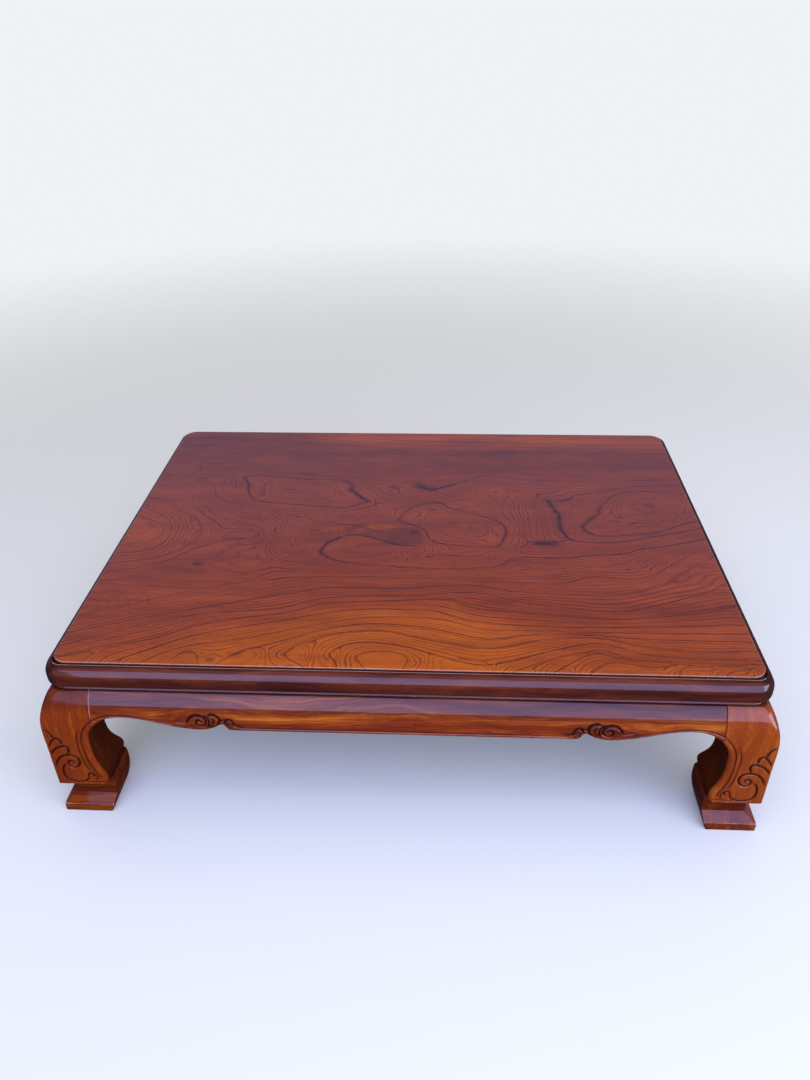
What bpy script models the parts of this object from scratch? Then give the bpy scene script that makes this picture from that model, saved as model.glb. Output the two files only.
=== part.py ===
"""Low floor table with a veneered, moulded top, bulged aprons and hollowed square legs.

Metres, +Z up. The origin is on the floor under the middle of the table,
+X runs along the length and -Y is the front.
"""
import math

import bmesh
import bpy
from mathutils import Matrix, Vector

# Overall sizes
TOP_LENGTH = 1.216
TOP_DEPTH = 0.912
TABLE_HEIGHT = 0.333

# Clearance between pieces that touch
SEAT_GAP = 0.0003

# Top: veneer, core and moulded edge rails
TOP_THICKNESS = 0.0535
VENEER_THICKNESS = 0.002
FIELD_INSET = 0.0135
FIELD_CORNER_RADIUS = 0.030
CORE_THICKNESS = 0.024
EDGE_WIDTH = 0.028
EDGE_INNER_RADIUS = 0.006
CORE_CORNER_EASE = 0.002
GROOVE_WIDTH = 0.0035
GROOVE_DEPTH = 0.007
ARRIS_DROP = 0.004
BULGE_DROP = 0.031
TUCK_INSET = 0.017
TUCK_DROP = 0.043
LIP_INSET = 0.010
LIP_THICKNESS = 0.0085
TONGUE_THICKNESS = 0.008
TONGUE_LENGTH = 0.012

# Legs: outer faces stand proud of the top, the shoulder rounds in under it
LEG_PROUD = 0.0184
LEG_SIZE = 0.094
LEG_FACE_INSET = 0.0015
LEG_FOOT_ROUNDING = 0.0015
SHOULDER_IN = 0.0315
SHOULDER_RISE = 0.0845
WAIST_SIZE = 0.078
TOE_RISE = 0.018
TOE_TUCK = 0.004
TOE_FLOW = 0.030
WAIST_FLOW = 0.032
LEG_CHAMFER = 0.020

# Feet: plinth, slope and neck on the two outer faces
FOOT_HEIGHT = 0.070
PLINTH_HEIGHT = 0.014
NECK_INSET = 0.0185
SLOPE_RISE = 0.010
SLOPE_HOLLOW = 0.001
FOOT_LEAN = 0.003
FOOT_BELLY = 0.006

# Aprons: lower edge drops from the arch at each leg to a scroll, then runs straight
APRON_HEIGHT = 0.0667
APRON_BEARING = 0.008
ARCH_RISE = 0.0215
ARCH_REACH = 0.051
ARCH_DROP = 0.062
SCROLL_START = 0.191
SCROLL_NOTCH = 0.227
NOTCH_HEIGHT = 0.010
NOTCH_HALF = 0.011
TENON_OFFSET = 0.034
TENON_THICKNESS = 0.018
TENON_DROP = 0.018
TENON_HEIGHT = 0.040
TENON_SPACING = 0.004

# Frame stiffening under the top
BRACE_THICKNESS = 0.034
BRACE_HEIGHT = 0.038
BRACE_DROP = 0.003
CLEAT_THICKNESS = 0.020
CLEAT_DROP = 0.044
CLEAT_CLEARANCE = 0.010
BATTEN_WIDTH = 0.045
BATTEN_HEIGHT = 0.020
BATTEN_END = 0.1917

# Fasteners
SCREW_RADIUS = 0.0022
SCREW_HEAD_RADIUS = 0.0042
SCREW_HEAD_HEIGHT = 0.003
SCREW_BITE = 0.016
BORE_RADIUS = 0.0065
CUT_OVERRUN = 0.002
CLEAT_BORE_STOP = 0.022
BOLT_RADIUS = 0.004
BOLT_INTO_LEG = 0.030
BOLT_FLANGE_RADIUS = 0.010
BOLT_FLANGE_HEIGHT = 0.0016
BOLT_HEAD_RADIUS = 0.0065
BOLT_HEAD_HEIGHT = 0.0065
DOWEL_RADIUS = 0.012
DOWEL_LENGTH = 0.060
SCREW_SIDES = 8
ROUND_SIDES = 12
CLEAT_SCREW_COUNT = 2
BATTEN_SCREW_COUNT = 2

# Curve steps
CORNER_STEPS = 6
BULGE_STEPS = 6
CURVE_STEPS = 8
SHOULDER_STEPS = 10
NECK_STEPS = 4

# Levels and planes worked out from the sizes above
HALF_X = TOP_LENGTH / 2 + LEG_PROUD
HALF_Y = TOP_DEPTH / 2 + LEG_PROUD
FRAME_TOP = TABLE_HEIGHT - TOP_THICKNESS - SEAT_GAP
VENEER_BOTTOM = TABLE_HEIGHT - VENEER_THICKNESS
CORE_TOP = VENEER_BOTTOM - SEAT_GAP
CORE_BOTTOM = CORE_TOP - CORE_THICKNESS
TOP_CORNER_RADIUS = EDGE_WIDTH + EDGE_INNER_RADIUS
ARRIS_INSET = FIELD_INSET - GROOVE_WIDTH
APRON_BACK = LEG_PROUD + EDGE_WIDTH + APRON_BEARING
APRON_LOW = FRAME_TOP - APRON_HEIGHT
ARCH_TOP = APRON_LOW + ARCH_RISE
WAIST_Z = ARCH_TOP - ARCH_DROP
ARCH_CENTRE = LEG_SIZE + ARCH_REACH
LEG_BOTTOM = FOOT_HEIGHT + SEAT_GAP
TENON_LENGTH = LEG_SIZE - TENON_OFFSET - TENON_THICKNESS - TENON_SPACING
TENON_TOP = FRAME_TOP - TENON_DROP
BRACE_TOP = FRAME_TOP - BRACE_DROP
BRACE_MIDDLE = BRACE_TOP - BRACE_HEIGHT / 2
BRACE_BACK = APRON_BACK + SEAT_GAP
BRACE_NEAR = 2 * LEG_SIZE - LEG_CHAMFER + SEAT_GAP * math.sqrt(2)
BRACE_FAR = BRACE_NEAR + BRACE_THICKNESS * math.sqrt(2)
CLEAT_END = BRACE_FAR - BRACE_BACK + CLEAT_CLEARANCE
CLEAT_TOP = CORE_BOTTOM - SEAT_GAP
CLEAT_BOTTOM = FRAME_TOP - CLEAT_DROP
CLEAT_NEAR = APRON_BACK + SEAT_GAP
CLEAT_FAR = CLEAT_NEAR + CLEAT_THICKNESS
APRON_SCREW_Z = (CLEAT_BOTTOM + FRAME_TOP) / 2
BATTEN_HALF = HALF_Y - CLEAT_FAR - SEAT_GAP
BATTEN_TOP = CORE_BOTTOM - SEAT_GAP
BATTEN_SPACING = HALF_X - CLEAT_FAR - BATTEN_END
HOLE_PATCH = 2 * BORE_RADIUS

CORNERS = ("front_left", "front_right", "back_right", "back_left")
SIDES = ("front", "right", "back", "left")
BATTENS = ("left", "middle", "right")


def start_collections():
    """Empty the scene and make one collection for the table."""
    for old in list(bpy.data.objects):
        bpy.data.objects.remove(old, do_unlink=True)
    parts = bpy.data.collections.new("low_floor_table")
    cutters = bpy.data.collections.new("cutters")
    for group in (parts, cutters):
        bpy.context.scene.collection.children.link(group)
    return parts, cutters


PARTS, CUTTERS = start_collections()


def finish(name, colour, roughness, metallic=0.0):
    """A plain material for one kind of piece."""
    material = bpy.data.materials.new(name)
    material.use_nodes = True
    shader = material.node_tree.nodes["Principled BSDF"]
    shader.inputs["Base Color"].default_value = (*colour, 1.0)
    shader.inputs["Roughness"].default_value = roughness
    shader.inputs["Metallic"].default_value = metallic
    return material


FIGURED = finish("figured_veneer", (0.26, 0.06, 0.022), 0.25)
DARK_EDGE = finish("dark_edge_lacquer", (0.035, 0.010, 0.006), 0.2)
FRAME_WOOD = finish("frame_lacquer", (0.24, 0.05, 0.015), 0.25)
PLAIN_WOOD = finish("plain_inner_wood", (0.50, 0.32, 0.16), 0.7)
STEEL = finish("zinc_steel", (0.60, 0.60, 0.58), 0.35, 1.0)


def add_part(name, mesh, material, matrix=None):
    """Put a mesh in the table's collection as one named piece."""
    part = bpy.data.objects.new(name, mesh)
    PARTS.objects.link(part)
    if not mesh.materials:
        mesh.materials.append(material)
    if matrix is not None:
        part.matrix_world = matrix
    return part


def evaluated_mesh(thing):
    """The mesh of an object with its modifiers or its curve shape taken up."""
    bpy.context.view_layer.update()
    graph = bpy.context.evaluated_depsgraph_get()
    return bpy.data.meshes.new_from_object(thing.evaluated_get(graph))


def tidy_mesh(mesh, weld=1e-6):
    """Weld loose caps and turn the faces outward."""
    shape = bmesh.new()
    shape.from_mesh(mesh)
    bmesh.ops.remove_doubles(shape, verts=shape.verts, dist=weld)
    bmesh.ops.recalc_face_normals(shape, faces=shape.faces)
    shape.to_mesh(mesh)
    shape.free()
    return mesh


def temporary(name, data):
    """A working object that never renders."""
    guide = bpy.data.objects.new(name, data)
    CUTTERS.objects.link(guide)
    guide.hide_render = True
    guide.display_type = "WIRE"
    return guide


def outline_curve(points, half_thickness):
    """A filled flat outline as a 2D curve."""
    curve = bpy.data.curves.new("outline", "CURVE")
    curve.dimensions = "2D"
    curve.fill_mode = "BOTH"
    curve.extrude = half_thickness
    spline = curve.splines.new("POLY")
    spline.points.add(len(points) - 1)
    for place, (a, b) in zip(spline.points, points):
        place.co = (a, b, 0.0, 1.0)
    spline.use_cyclic_u = True
    return curve


# How a flat outline stands: its two axes and the direction that it is thick in
STAND = {
    "Z": Matrix.Identity(4),
    "Y": Matrix(((1, 0, 0, 0), (0, 0, -1, 0), (0, 1, 0, 0), (0, 0, 0, 1))),
    "X": Matrix(((0, 0, 1, 0), (1, 0, 0, 0), (0, 1, 0, 0), (0, 0, 0, 1))),
}


def outline_mesh(points, low, high, thick_axis):
    """A solid from a flat outline, thick from low to high along one axis."""
    curve = outline_curve(points, (high - low) / 2)
    guide = temporary("outline", curve)
    mesh = evaluated_mesh(guide)
    bpy.data.objects.remove(guide)
    bpy.data.curves.remove(curve)
    shift = Vector([(low + high) / 2 if axis == thick_axis else 0.0 for axis in "XYZ"])
    mesh.transform(Matrix.Translation(shift) @ STAND[thick_axis])
    return tidy_mesh(mesh)


def box_mesh(low, high, holes_at=(), along=(1.0, 0.0, 0.0)):
    """A box between two corners, its long faces divided either side of each place that takes a hole."""
    mesh = bpy.data.meshes.new("box")
    shape = bmesh.new()
    bmesh.ops.create_cube(shape, size=1.0)
    size = Vector(high) - Vector(low)
    middle = (Vector(high) + Vector(low)) / 2
    bmesh.ops.transform(shape, matrix=Matrix.Translation(middle) @ Matrix.Diagonal((*size, 1.0)),
                        verts=shape.verts)
    for place in holes_at:
        for beside in (place - HOLE_PATCH, place + HOLE_PATCH):
            everything = list(shape.verts) + list(shape.edges) + list(shape.faces)
            bmesh.ops.bisect_plane(shape, geom=everything, plane_co=Vector(along) * beside, plane_no=along)
    shape.to_mesh(mesh)
    shape.free()
    return mesh


def turned_mesh(profile, sides):
    """A turned solid from a profile of (radius, height), top to bottom."""
    mesh = bpy.data.meshes.new("profile")
    points = [(radius, 0.0, height) for radius, height in profile]
    mesh.from_pydata(points, [(i, i + 1) for i in range(len(points) - 1)], [])
    guide = temporary("turning", mesh)
    turning = guide.modifiers.new("turn", "SCREW")
    turning.axis = "Z"
    turning.steps = sides
    turning.render_steps = sides
    turning.use_merge_vertices = True
    turning.merge_threshold = 0.00001
    result = evaluated_mesh(guide)
    bpy.data.objects.remove(guide)
    return tidy_mesh(result)


def gathered(pieces):
    """One mesh from (mesh, matrix) pairs that stay separate solids."""
    shape = bmesh.new()
    for mesh, matrix in pieces:
        copy = mesh.copy()
        copy.transform(matrix)
        shape.from_mesh(copy)
        bpy.data.meshes.remove(copy)
    mesh = bpy.data.meshes.new("group")
    shape.to_mesh(mesh)
    shape.free()
    return mesh


def combined(mesh, other, operation):
    """The mesh after one boolean with another mesh."""
    base = temporary("base", mesh)
    tool = temporary("tool", other)
    change = base.modifiers.new("change", "BOOLEAN")
    change.operation = operation
    change.object = tool
    change.solver = "EXACT"
    result = evaluated_mesh(base)
    bpy.data.objects.remove(base)
    bpy.data.objects.remove(tool)
    return tidy_mesh(result)


def drilled(mesh, cutters):
    """The mesh with (mesh, matrix) cutters taken out of it."""
    return combined(mesh, gathered(cutters), "DIFFERENCE")


def rounded_rectangle(half_x, half_y, radius):
    """Corner arcs of a rectangle, anticlockwise from the front left."""
    points = []
    starts = ((-1, -1, math.pi), (1, -1, 1.5 * math.pi), (1, 1, 0.0), (-1, 1, 0.5 * math.pi))
    for side_x, side_y, start in starts:
        for step in range(CORNER_STEPS + 1):
            angle = start + step * math.pi / 2 / CORNER_STEPS
            x = side_x * (half_x - radius) + radius * math.cos(angle)
            y = side_y * (half_y - radius) + radius * math.sin(angle)
            points.append((x, y))
    return points


def top_outline(inset, radius):
    return rounded_rectangle(TOP_LENGTH / 2 - inset, TOP_DEPTH / 2 - inset, radius)


def corner_frame(index):
    """Place of a leg's outer corner: local +X and +Y run inward along its two outer faces."""
    side_x, side_y = ((-1, -1), (1, -1), (1, 1), (-1, 1))[index]
    turn = Matrix.Rotation(index * math.pi / 2, 4, "Z")
    return Matrix.Translation((side_x * HALF_X, side_y * HALF_Y, 0.0)) @ turn


def side_frame(index):
    """Place of a side's outer plane: local +X runs along it and local +Y inward."""
    shift = ((0, -HALF_Y, 0), (HALF_X, 0, 0), (0, HALF_Y, 0), (-HALF_X, 0, 0))[index]
    return Matrix.Translation(shift) @ Matrix.Rotation(index * math.pi / 2, 4, "Z")


def side_half(index):
    """Half of the overall length of a side."""
    return HALF_X if index % 2 == 0 else HALF_Y


# Screws point down from a head whose flat top is at the origin
def screw_profile(length, extra=0.0, head_clear=0.0):
    shank = SCREW_RADIUS + extra
    head = SCREW_HEAD_RADIUS + extra
    points = [(0.0, head_clear), (head, head_clear)]
    if head_clear > 0.0:
        points.append((head, 0.0))
    points += [(shank, -SCREW_HEAD_HEIGHT - extra), (shank, -length + SCREW_RADIUS)]
    points += [(shank / 4, -length - extra), (0.0, -length - extra)]
    return points


def screw_mesh(length):
    return turned_mesh(screw_profile(length), SCREW_SIDES)


def screw_hole(length, bore_depth=0.0):
    """Hole for a screw, with a bore above its head where it sits deep."""
    if bore_depth == 0.0:
        return turned_mesh(screw_profile(length, SEAT_GAP, CUT_OVERRUN), SCREW_SIDES)
    stem = screw_profile(length, SEAT_GAP)[1:]
    top = bore_depth + CUT_OVERRUN
    bore = [(0.0, top), (BORE_RADIUS, top), (BORE_RADIUS, SEAT_GAP), (stem[0][0], SEAT_GAP)]
    return turned_mesh(bore + stem, SCREW_SIDES)


POINT_UP = Matrix.Rotation(math.pi, 4, "X")
POINT_OUT = Matrix.Rotation(-math.pi / 2, 4, "X")


def at(x, y, z, turn=None):
    place = Matrix.Translation((x, y, z))
    return place @ turn if turn is not None else place


def spread(count, half):
    """Evenly spread places along a length of twice half, clear of its ends."""
    step = 2 * half / count
    return [-half + step * (i + 0.5) for i in range(count)]


def cleat_half(index):
    return side_half(index) - CLEAT_END


def cleat_screw_step(index):
    """Distance from a screw of the top to the next screw of the apron."""
    return cleat_half(index) / CLEAT_SCREW_COUNT


APRON_SCREW_LENGTH = CLEAT_THICKNESS + SEAT_GAP + SCREW_BITE
TOP_SCREW_LENGTH = CLEAT_BORE_STOP + SEAT_GAP + SCREW_BITE
BATTEN_SCREW_LENGTH = BATTEN_HEIGHT + SEAT_GAP + SCREW_BITE


def apron_screw_places(index):
    """Screws from the cleat out into the apron, between the screws of the top."""
    shift = cleat_screw_step(index) / 2
    return [at(x - shift, CLEAT_FAR, APRON_SCREW_Z, POINT_OUT)
            for x in spread(CLEAT_SCREW_COUNT, cleat_half(index))]


def top_screw_places(index):
    """Screws in deep bores from the cleat up into the core."""
    middle = CLEAT_NEAR + CLEAT_THICKNESS / 2
    shift = cleat_screw_step(index) / 2
    return [at(x + shift, middle, CLEAT_TOP - CLEAT_BORE_STOP, POINT_UP)
            for x in spread(CLEAT_SCREW_COUNT, cleat_half(index))]


def batten_screw_places(x):
    low = BATTEN_TOP - BATTEN_HEIGHT
    return [at(x, y, low, POINT_UP) for y in spread(BATTEN_SCREW_COUNT, BATTEN_HALF)]


# Top
def make_top():
    veneer = outline_mesh(top_outline(FIELD_INSET, FIELD_CORNER_RADIUS), VENEER_BOTTOM, TABLE_HEIGHT, "Z")
    add_part("top_veneer", veneer, FIGURED)

    board_inset = EDGE_WIDTH + SEAT_GAP
    board_radius = EDGE_INNER_RADIUS + CORE_CORNER_EASE
    board = outline_mesh(top_outline(board_inset, board_radius), CORE_BOTTOM, CORE_TOP, "Z")
    tongue_inset = board_inset - TONGUE_LENGTH
    tongue_middle = CORE_TOP - CORE_THICKNESS / 2
    tongue = outline_mesh(top_outline(tongue_inset, board_radius + TONGUE_LENGTH),
                          tongue_middle - TONGUE_THICKNESS / 2, tongue_middle + TONGUE_THICKNESS / 2, "Z")
    core = combined(board, tongue, "UNION")
    holes = []
    top_hole = screw_hole(TOP_SCREW_LENGTH)
    for index in range(4):
        holes += [(top_hole, side_frame(index) @ place) for place in top_screw_places(index)]
    batten_hole = screw_hole(BATTEN_SCREW_LENGTH)
    for x in batten_places():
        holes += [(batten_hole, place) for place in batten_screw_places(x)]
    add_part("top_core", drilled(core, holes), PLAIN_WOOD)


def edge_profile():
    """Moulded section of an edge rail as (inset, height), from its inner top corner round it."""
    groove_floor = TABLE_HEIGHT - GROOVE_DEPTH
    points = [(EDGE_WIDTH, CORE_TOP), (FIELD_INSET, CORE_TOP)]
    points += [(FIELD_INSET - GROOVE_WIDTH / 3, groove_floor)]
    bulge = TABLE_HEIGHT - BULGE_DROP
    for step in range(BULGE_STEPS + 1):
        angle = step * math.pi / 2 / BULGE_STEPS
        inset = ARRIS_INSET * (1 - math.sin(angle))
        points.append((inset, bulge + (BULGE_DROP - ARRIS_DROP) * math.cos(angle)))
    for step in range(1, BULGE_STEPS + 1):
        angle = step * math.pi / 2 / BULGE_STEPS
        inset = TUCK_INSET * (1 - math.cos(angle))
        points.append((inset, bulge - (TUCK_DROP - BULGE_DROP) * math.sin(angle)))
    underside = TABLE_HEIGHT - TOP_THICKNESS
    lip_top = underside + LIP_THICKNESS
    points += [(TUCK_INSET, lip_top), (LIP_INSET, lip_top), (LIP_INSET, underside), (EDGE_WIDTH, underside)]
    tongue_middle = CORE_TOP - CORE_THICKNESS / 2
    half = TONGUE_THICKNESS / 2 + SEAT_GAP
    floor = EDGE_WIDTH - TONGUE_LENGTH - SEAT_GAP
    points += [(EDGE_WIDTH, tongue_middle - half), (floor, tongue_middle - half)]
    points += [(floor, tongue_middle + half), (EDGE_WIDTH, tongue_middle + half)]
    return points


def edge_ring():
    """The moulded section swept round the outline of the top, before the mitres are cut."""
    profile = bpy.data.curves.new("edge_section", "CURVE")
    profile.dimensions = "2D"
    section = profile.splines.new("POLY")
    points = edge_profile()
    section.points.add(len(points) - 1)
    for place, (inset, height) in zip(section.points, points):
        place.co = (inset, height, 0.0, 1.0)
    section.use_cyclic_u = True
    section_guide = temporary("edge_section", profile)
    path = bpy.data.curves.new("edge_path", "CURVE")
    path.dimensions = "2D"
    path.fill_mode = "NONE"
    path.bevel_mode = "OBJECT"
    path.bevel_object = section_guide
    track = path.splines.new("POLY")
    corners = top_outline(0.0, TOP_CORNER_RADIUS)
    track.points.add(len(corners) - 1)
    for place, (x, y) in zip(track.points, corners):
        place.co = (x, y, 0.0, 1.0)
    track.use_cyclic_u = True
    path_guide = temporary("edge_path", path)
    ring = evaluated_mesh(path_guide)
    bpy.data.objects.remove(path_guide)
    bpy.data.objects.remove(section_guide)
    return tidy_mesh(ring)


def cut_square(shape, point, normal):
    """Cut a mesh with a plane, drop what lies beyond it and close the cut."""
    everything = list(shape.verts) + list(shape.edges) + list(shape.faces)
    cut = bmesh.ops.bisect_plane(shape, geom=everything, dist=1e-7, plane_co=point,
                                 plane_no=normal, clear_outer=True)
    edges = [piece for piece in cut["geom_cut"] if isinstance(piece, bmesh.types.BMEdge)]
    bmesh.ops.edgeloop_fill(shape, edges=edges)


def make_edges():
    ring = edge_ring()
    for index, name in enumerate(SIDES):
        shape = bmesh.new()
        shape.from_mesh(ring)
        place = side_frame(index)
        turn = place.to_3x3()
        half = side_half(index) - LEG_PROUD
        for end in (-1, 1):
            corner = place @ Vector((end * half, LEG_PROUD, 0.0))
            beyond = turn @ Vector((end, 1.0, 0.0)).normalized()
            cut_square(shape, corner - beyond * SEAT_GAP / 2, beyond)
        mesh = bpy.data.meshes.new("edge_" + name)
        bmesh.ops.recalc_face_normals(shape, faces=shape.faces)
        shape.to_mesh(mesh)
        shape.free()
        add_part("edge_" + name, mesh, DARK_EDGE)


# Legs and feet: squares stacked along the height, given as (height, outer inset, inner reach)
def stacked_squares(levels):
    mesh = bpy.data.meshes.new("stack")
    shape = bmesh.new()
    bmesh.ops.create_circle(shape, cap_ends=True, segments=4, radius=1.0)
    face = next(iter(shape.faces))
    place_square(face.verts, *levels[0])
    for number, level in enumerate(levels[1:]):
        made = bmesh.ops.extrude_face_region(shape, geom=[face])
        if number > 0:
            bmesh.ops.delete(shape, geom=[face], context="FACES_ONLY")
        face = next(piece for piece in made["geom"] if isinstance(piece, bmesh.types.BMFace))
        place_square(face.verts, *level)
    bmesh.ops.recalc_face_normals(shape, faces=shape.faces)
    shape.to_mesh(mesh)
    shape.free()
    return mesh


def place_square(verts, height, near, far):
    """Put four verts at the corners of a square that has its diagonal on local X = Y."""
    for vert, (a, b) in zip(verts, ((near, near), (far, near), (far, far), (near, far))):
        vert.co = (a, b, height)


def shoulder_inset(height):
    """How far the bulged outer face stands back at a height."""
    start = FRAME_TOP - SHOULDER_RISE
    rise = min(max((height - start) / SHOULDER_RISE, 0.0), 1.0)
    return LEG_FACE_INSET + SHOULDER_IN * (1 - math.sqrt(1 - rise * rise))


def bezier(points, share):
    """A point on a cubic curve."""
    a, b, c, d = (Vector(point) for point in points)
    rest = 1 - share
    return a * rest**3 + b * (3 * rest**2 * share) + c * (3 * rest * share**2) + d * share**3


def arch_height(reach):
    """Height of the ellipse that runs from the leg's waist up into the apron's arch."""
    share = (ARCH_CENTRE - reach) / (ARCH_CENTRE - WAIST_SIZE)
    return WAIST_Z + (ARCH_TOP - WAIST_Z) * math.sqrt(max(0.0, 1 - share * share))


def leg_levels():
    toe_z = LEG_BOTTOM + TOE_RISE
    lower = ((LEG_SIZE, toe_z), (LEG_SIZE - (LEG_SIZE - WAIST_SIZE) / 3, toe_z + TOE_FLOW),
             (WAIST_SIZE, WAIST_Z - WAIST_FLOW), (WAIST_SIZE, WAIST_Z))
    sole = LEG_FACE_INSET + LEG_FOOT_ROUNDING
    levels = [(LEG_BOTTOM, sole, LEG_SIZE - TOE_TUCK)]
    levels.append((LEG_BOTTOM + TOE_RISE / 3, LEG_FACE_INSET, LEG_SIZE - TOE_TUCK / 4))
    for step in range(CURVE_STEPS + 1):
        reach, height = bezier(lower, step / CURVE_STEPS)
        levels.append((height, LEG_FACE_INSET, reach))
    for step in range(1, CURVE_STEPS + 1):
        angle = math.acos((ARCH_CENTRE - LEG_SIZE) / (ARCH_CENTRE - WAIST_SIZE)) * step / CURVE_STEPS
        reach = ARCH_CENTRE - (ARCH_CENTRE - WAIST_SIZE) * math.cos(angle)
        height = arch_height(reach)
        levels.append((height, shoulder_inset(height), reach))
    start = levels[-1][0]
    for step in range(1, SHOULDER_STEPS + 1):
        angle = math.pi / 2 * step / SHOULDER_STEPS
        height = start + (FRAME_TOP - start) * math.sin(angle)
        levels.append((height, shoulder_inset(height), LEG_SIZE))
    return levels


def mortise(swap):
    """Room for one apron's tenon in a leg."""
    low = [LEG_SIZE - TENON_LENGTH - 2 * SEAT_GAP, TENON_OFFSET - SEAT_GAP,
           TENON_TOP - TENON_HEIGHT - SEAT_GAP]
    high = [LEG_SIZE + TENON_SPACING, TENON_OFFSET + TENON_THICKNESS + SEAT_GAP, TENON_TOP + SEAT_GAP]
    if swap:
        low[0], low[1] = low[1], low[0]
        high[0], high[1] = high[1], high[0]
    return box_mesh(low, high)


def brace_flat():
    """Cut that leaves a flat across the leg's inner corner for the brace."""
    line = 2 * LEG_SIZE - LEG_CHAMFER
    edge = LEG_SIZE + TENON_SPACING
    points = [(line - edge, edge), (edge, line - edge), (edge, edge)]
    low = BRACE_TOP - BRACE_HEIGHT - TENON_SPACING
    return outline_mesh(points, low, FRAME_TOP + TENON_SPACING, "Z")


def bolt_place():
    """Where a leg bolt crosses the inner face of a brace. Local +Z runs along the bolt to its head."""
    middle = BRACE_FAR / 2
    turn = Matrix.Rotation(math.pi / 4, 4, "Z") @ Matrix.Rotation(math.pi / 2, 4, "Y")
    return at(middle, middle, BRACE_MIDDLE, turn)


def bolt_hole():
    deep = BRACE_THICKNESS + BOLT_INTO_LEG + 2 * SEAT_GAP
    radius = BOLT_RADIUS + SEAT_GAP
    profile = [(0.0, CUT_OVERRUN), (radius, CUT_OVERRUN), (radius, -deep), (0.0, -deep)]
    return turned_mesh(profile, SCREW_SIDES)


def bolt_mesh():
    """A bolt with a flanged head that bears on the brace."""
    deep = BRACE_THICKNESS + BOLT_INTO_LEG
    flange = SEAT_GAP + BOLT_FLANGE_HEIGHT
    head = flange + BOLT_HEAD_HEIGHT
    profile = [(0.0, head), (BOLT_HEAD_RADIUS, head), (BOLT_HEAD_RADIUS, flange)]
    profile += [(BOLT_FLANGE_RADIUS, flange), (BOLT_FLANGE_RADIUS, SEAT_GAP), (BOLT_RADIUS, SEAT_GAP)]
    profile += [(BOLT_RADIUS, -deep), (0.0, -deep)]
    return turned_mesh(profile, SCREW_SIDES)


def dowel_place():
    middle = (NECK_INSET + LEG_SIZE - TOE_TUCK) / 2
    return at(middle, middle, FOOT_HEIGHT)


def dowel_mesh(extra=0.0):
    half = DOWEL_LENGTH / 2 + extra
    radius = DOWEL_RADIUS + extra
    return turned_mesh([(0.0, half), (radius, half), (radius, -half), (0.0, -half)], ROUND_SIDES)


def make_legs():
    leg = stacked_squares(leg_levels())
    leg = combined(leg, brace_flat(), "DIFFERENCE")
    still = Matrix.Identity(4)
    leg = drilled(leg, [(mortise(False), still), (mortise(True), still)])
    leg = drilled(leg, [(bolt_hole(), bolt_place()), (dowel_mesh(SEAT_GAP), dowel_place())])
    for index, name in enumerate(CORNERS):
        add_part("leg_" + name, leg, FRAME_WOOD, corner_frame(index))


def foot_reach(height):
    """How far the plain inner faces of a foot reach in: a slight belly on a slight lean."""
    share = height / FOOT_HEIGHT
    lean = FOOT_LEAN * (share - 1)
    return LEG_SIZE - TOE_TUCK + lean + FOOT_BELLY * math.sin(math.pi * share)


def foot_levels():
    slope_top = PLINTH_HEIGHT + SLOPE_RISE
    slope_middle = PLINTH_HEIGHT + SLOPE_RISE / 2 - SLOPE_HOLLOW
    outer = [(0.0, 0.0), (PLINTH_HEIGHT, 0.0), (slope_middle, NECK_INSET / 2)]
    for step in range(NECK_STEPS + 1):
        outer.append((slope_top + (FOOT_HEIGHT - slope_top) * step / NECK_STEPS, NECK_INSET))
    return [(height, inset, foot_reach(height)) for height, inset in outer]


def make_feet():
    foot = drilled(stacked_squares(foot_levels()), [(dowel_mesh(SEAT_GAP), dowel_place())])
    for index, name in enumerate(CORNERS):
        add_part("foot_" + name, foot, FRAME_WOOD, corner_frame(index))
    dowel = dowel_mesh()
    for index, name in enumerate(CORNERS):
        add_part("foot_dowel_" + name, dowel, PLAIN_WOOD, corner_frame(index) @ dowel_place())


# Aprons
def apron_section(low):
    """Bulged section as (distance in from the outer plane, height)."""
    points = [(APRON_BACK, low), (LEG_FACE_INSET, low)]
    start = FRAME_TOP - SHOULDER_RISE
    for step in range(SHOULDER_STEPS + 1):
        height = start + SHOULDER_RISE * math.sin(math.pi / 2 * step / SHOULDER_STEPS)
        points.append((shoulder_inset(height), height))
    points.append((APRON_BACK, FRAME_TOP))
    return points


def apron_edge(half):
    """Right half of the shaped lower edge, from the middle out to the leg, as (place, height)."""
    notch = half - SCROLL_NOTCH
    points = [(notch - NOTCH_HALF, APRON_LOW), (notch, APRON_LOW + NOTCH_HEIGHT)]
    points += [(notch + NOTCH_HALF, APRON_LOW + NOTCH_HEIGHT / 4)]
    scroll = half - SCROLL_START
    for step in range(CURVE_STEPS + 1):
        share = step / CURVE_STEPS
        place = scroll + (SCROLL_START - ARCH_REACH) * share
        points.append((place, APRON_LOW + ARCH_RISE * (1 - math.cos(math.pi * share)) / 2))
    for step in range(1, CURVE_STEPS + 1):
        reach = ARCH_CENTRE - ARCH_REACH * step / CURVE_STEPS
        points.append((half - (reach - LEG_SIZE), arch_height(reach)))
    return points


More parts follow.
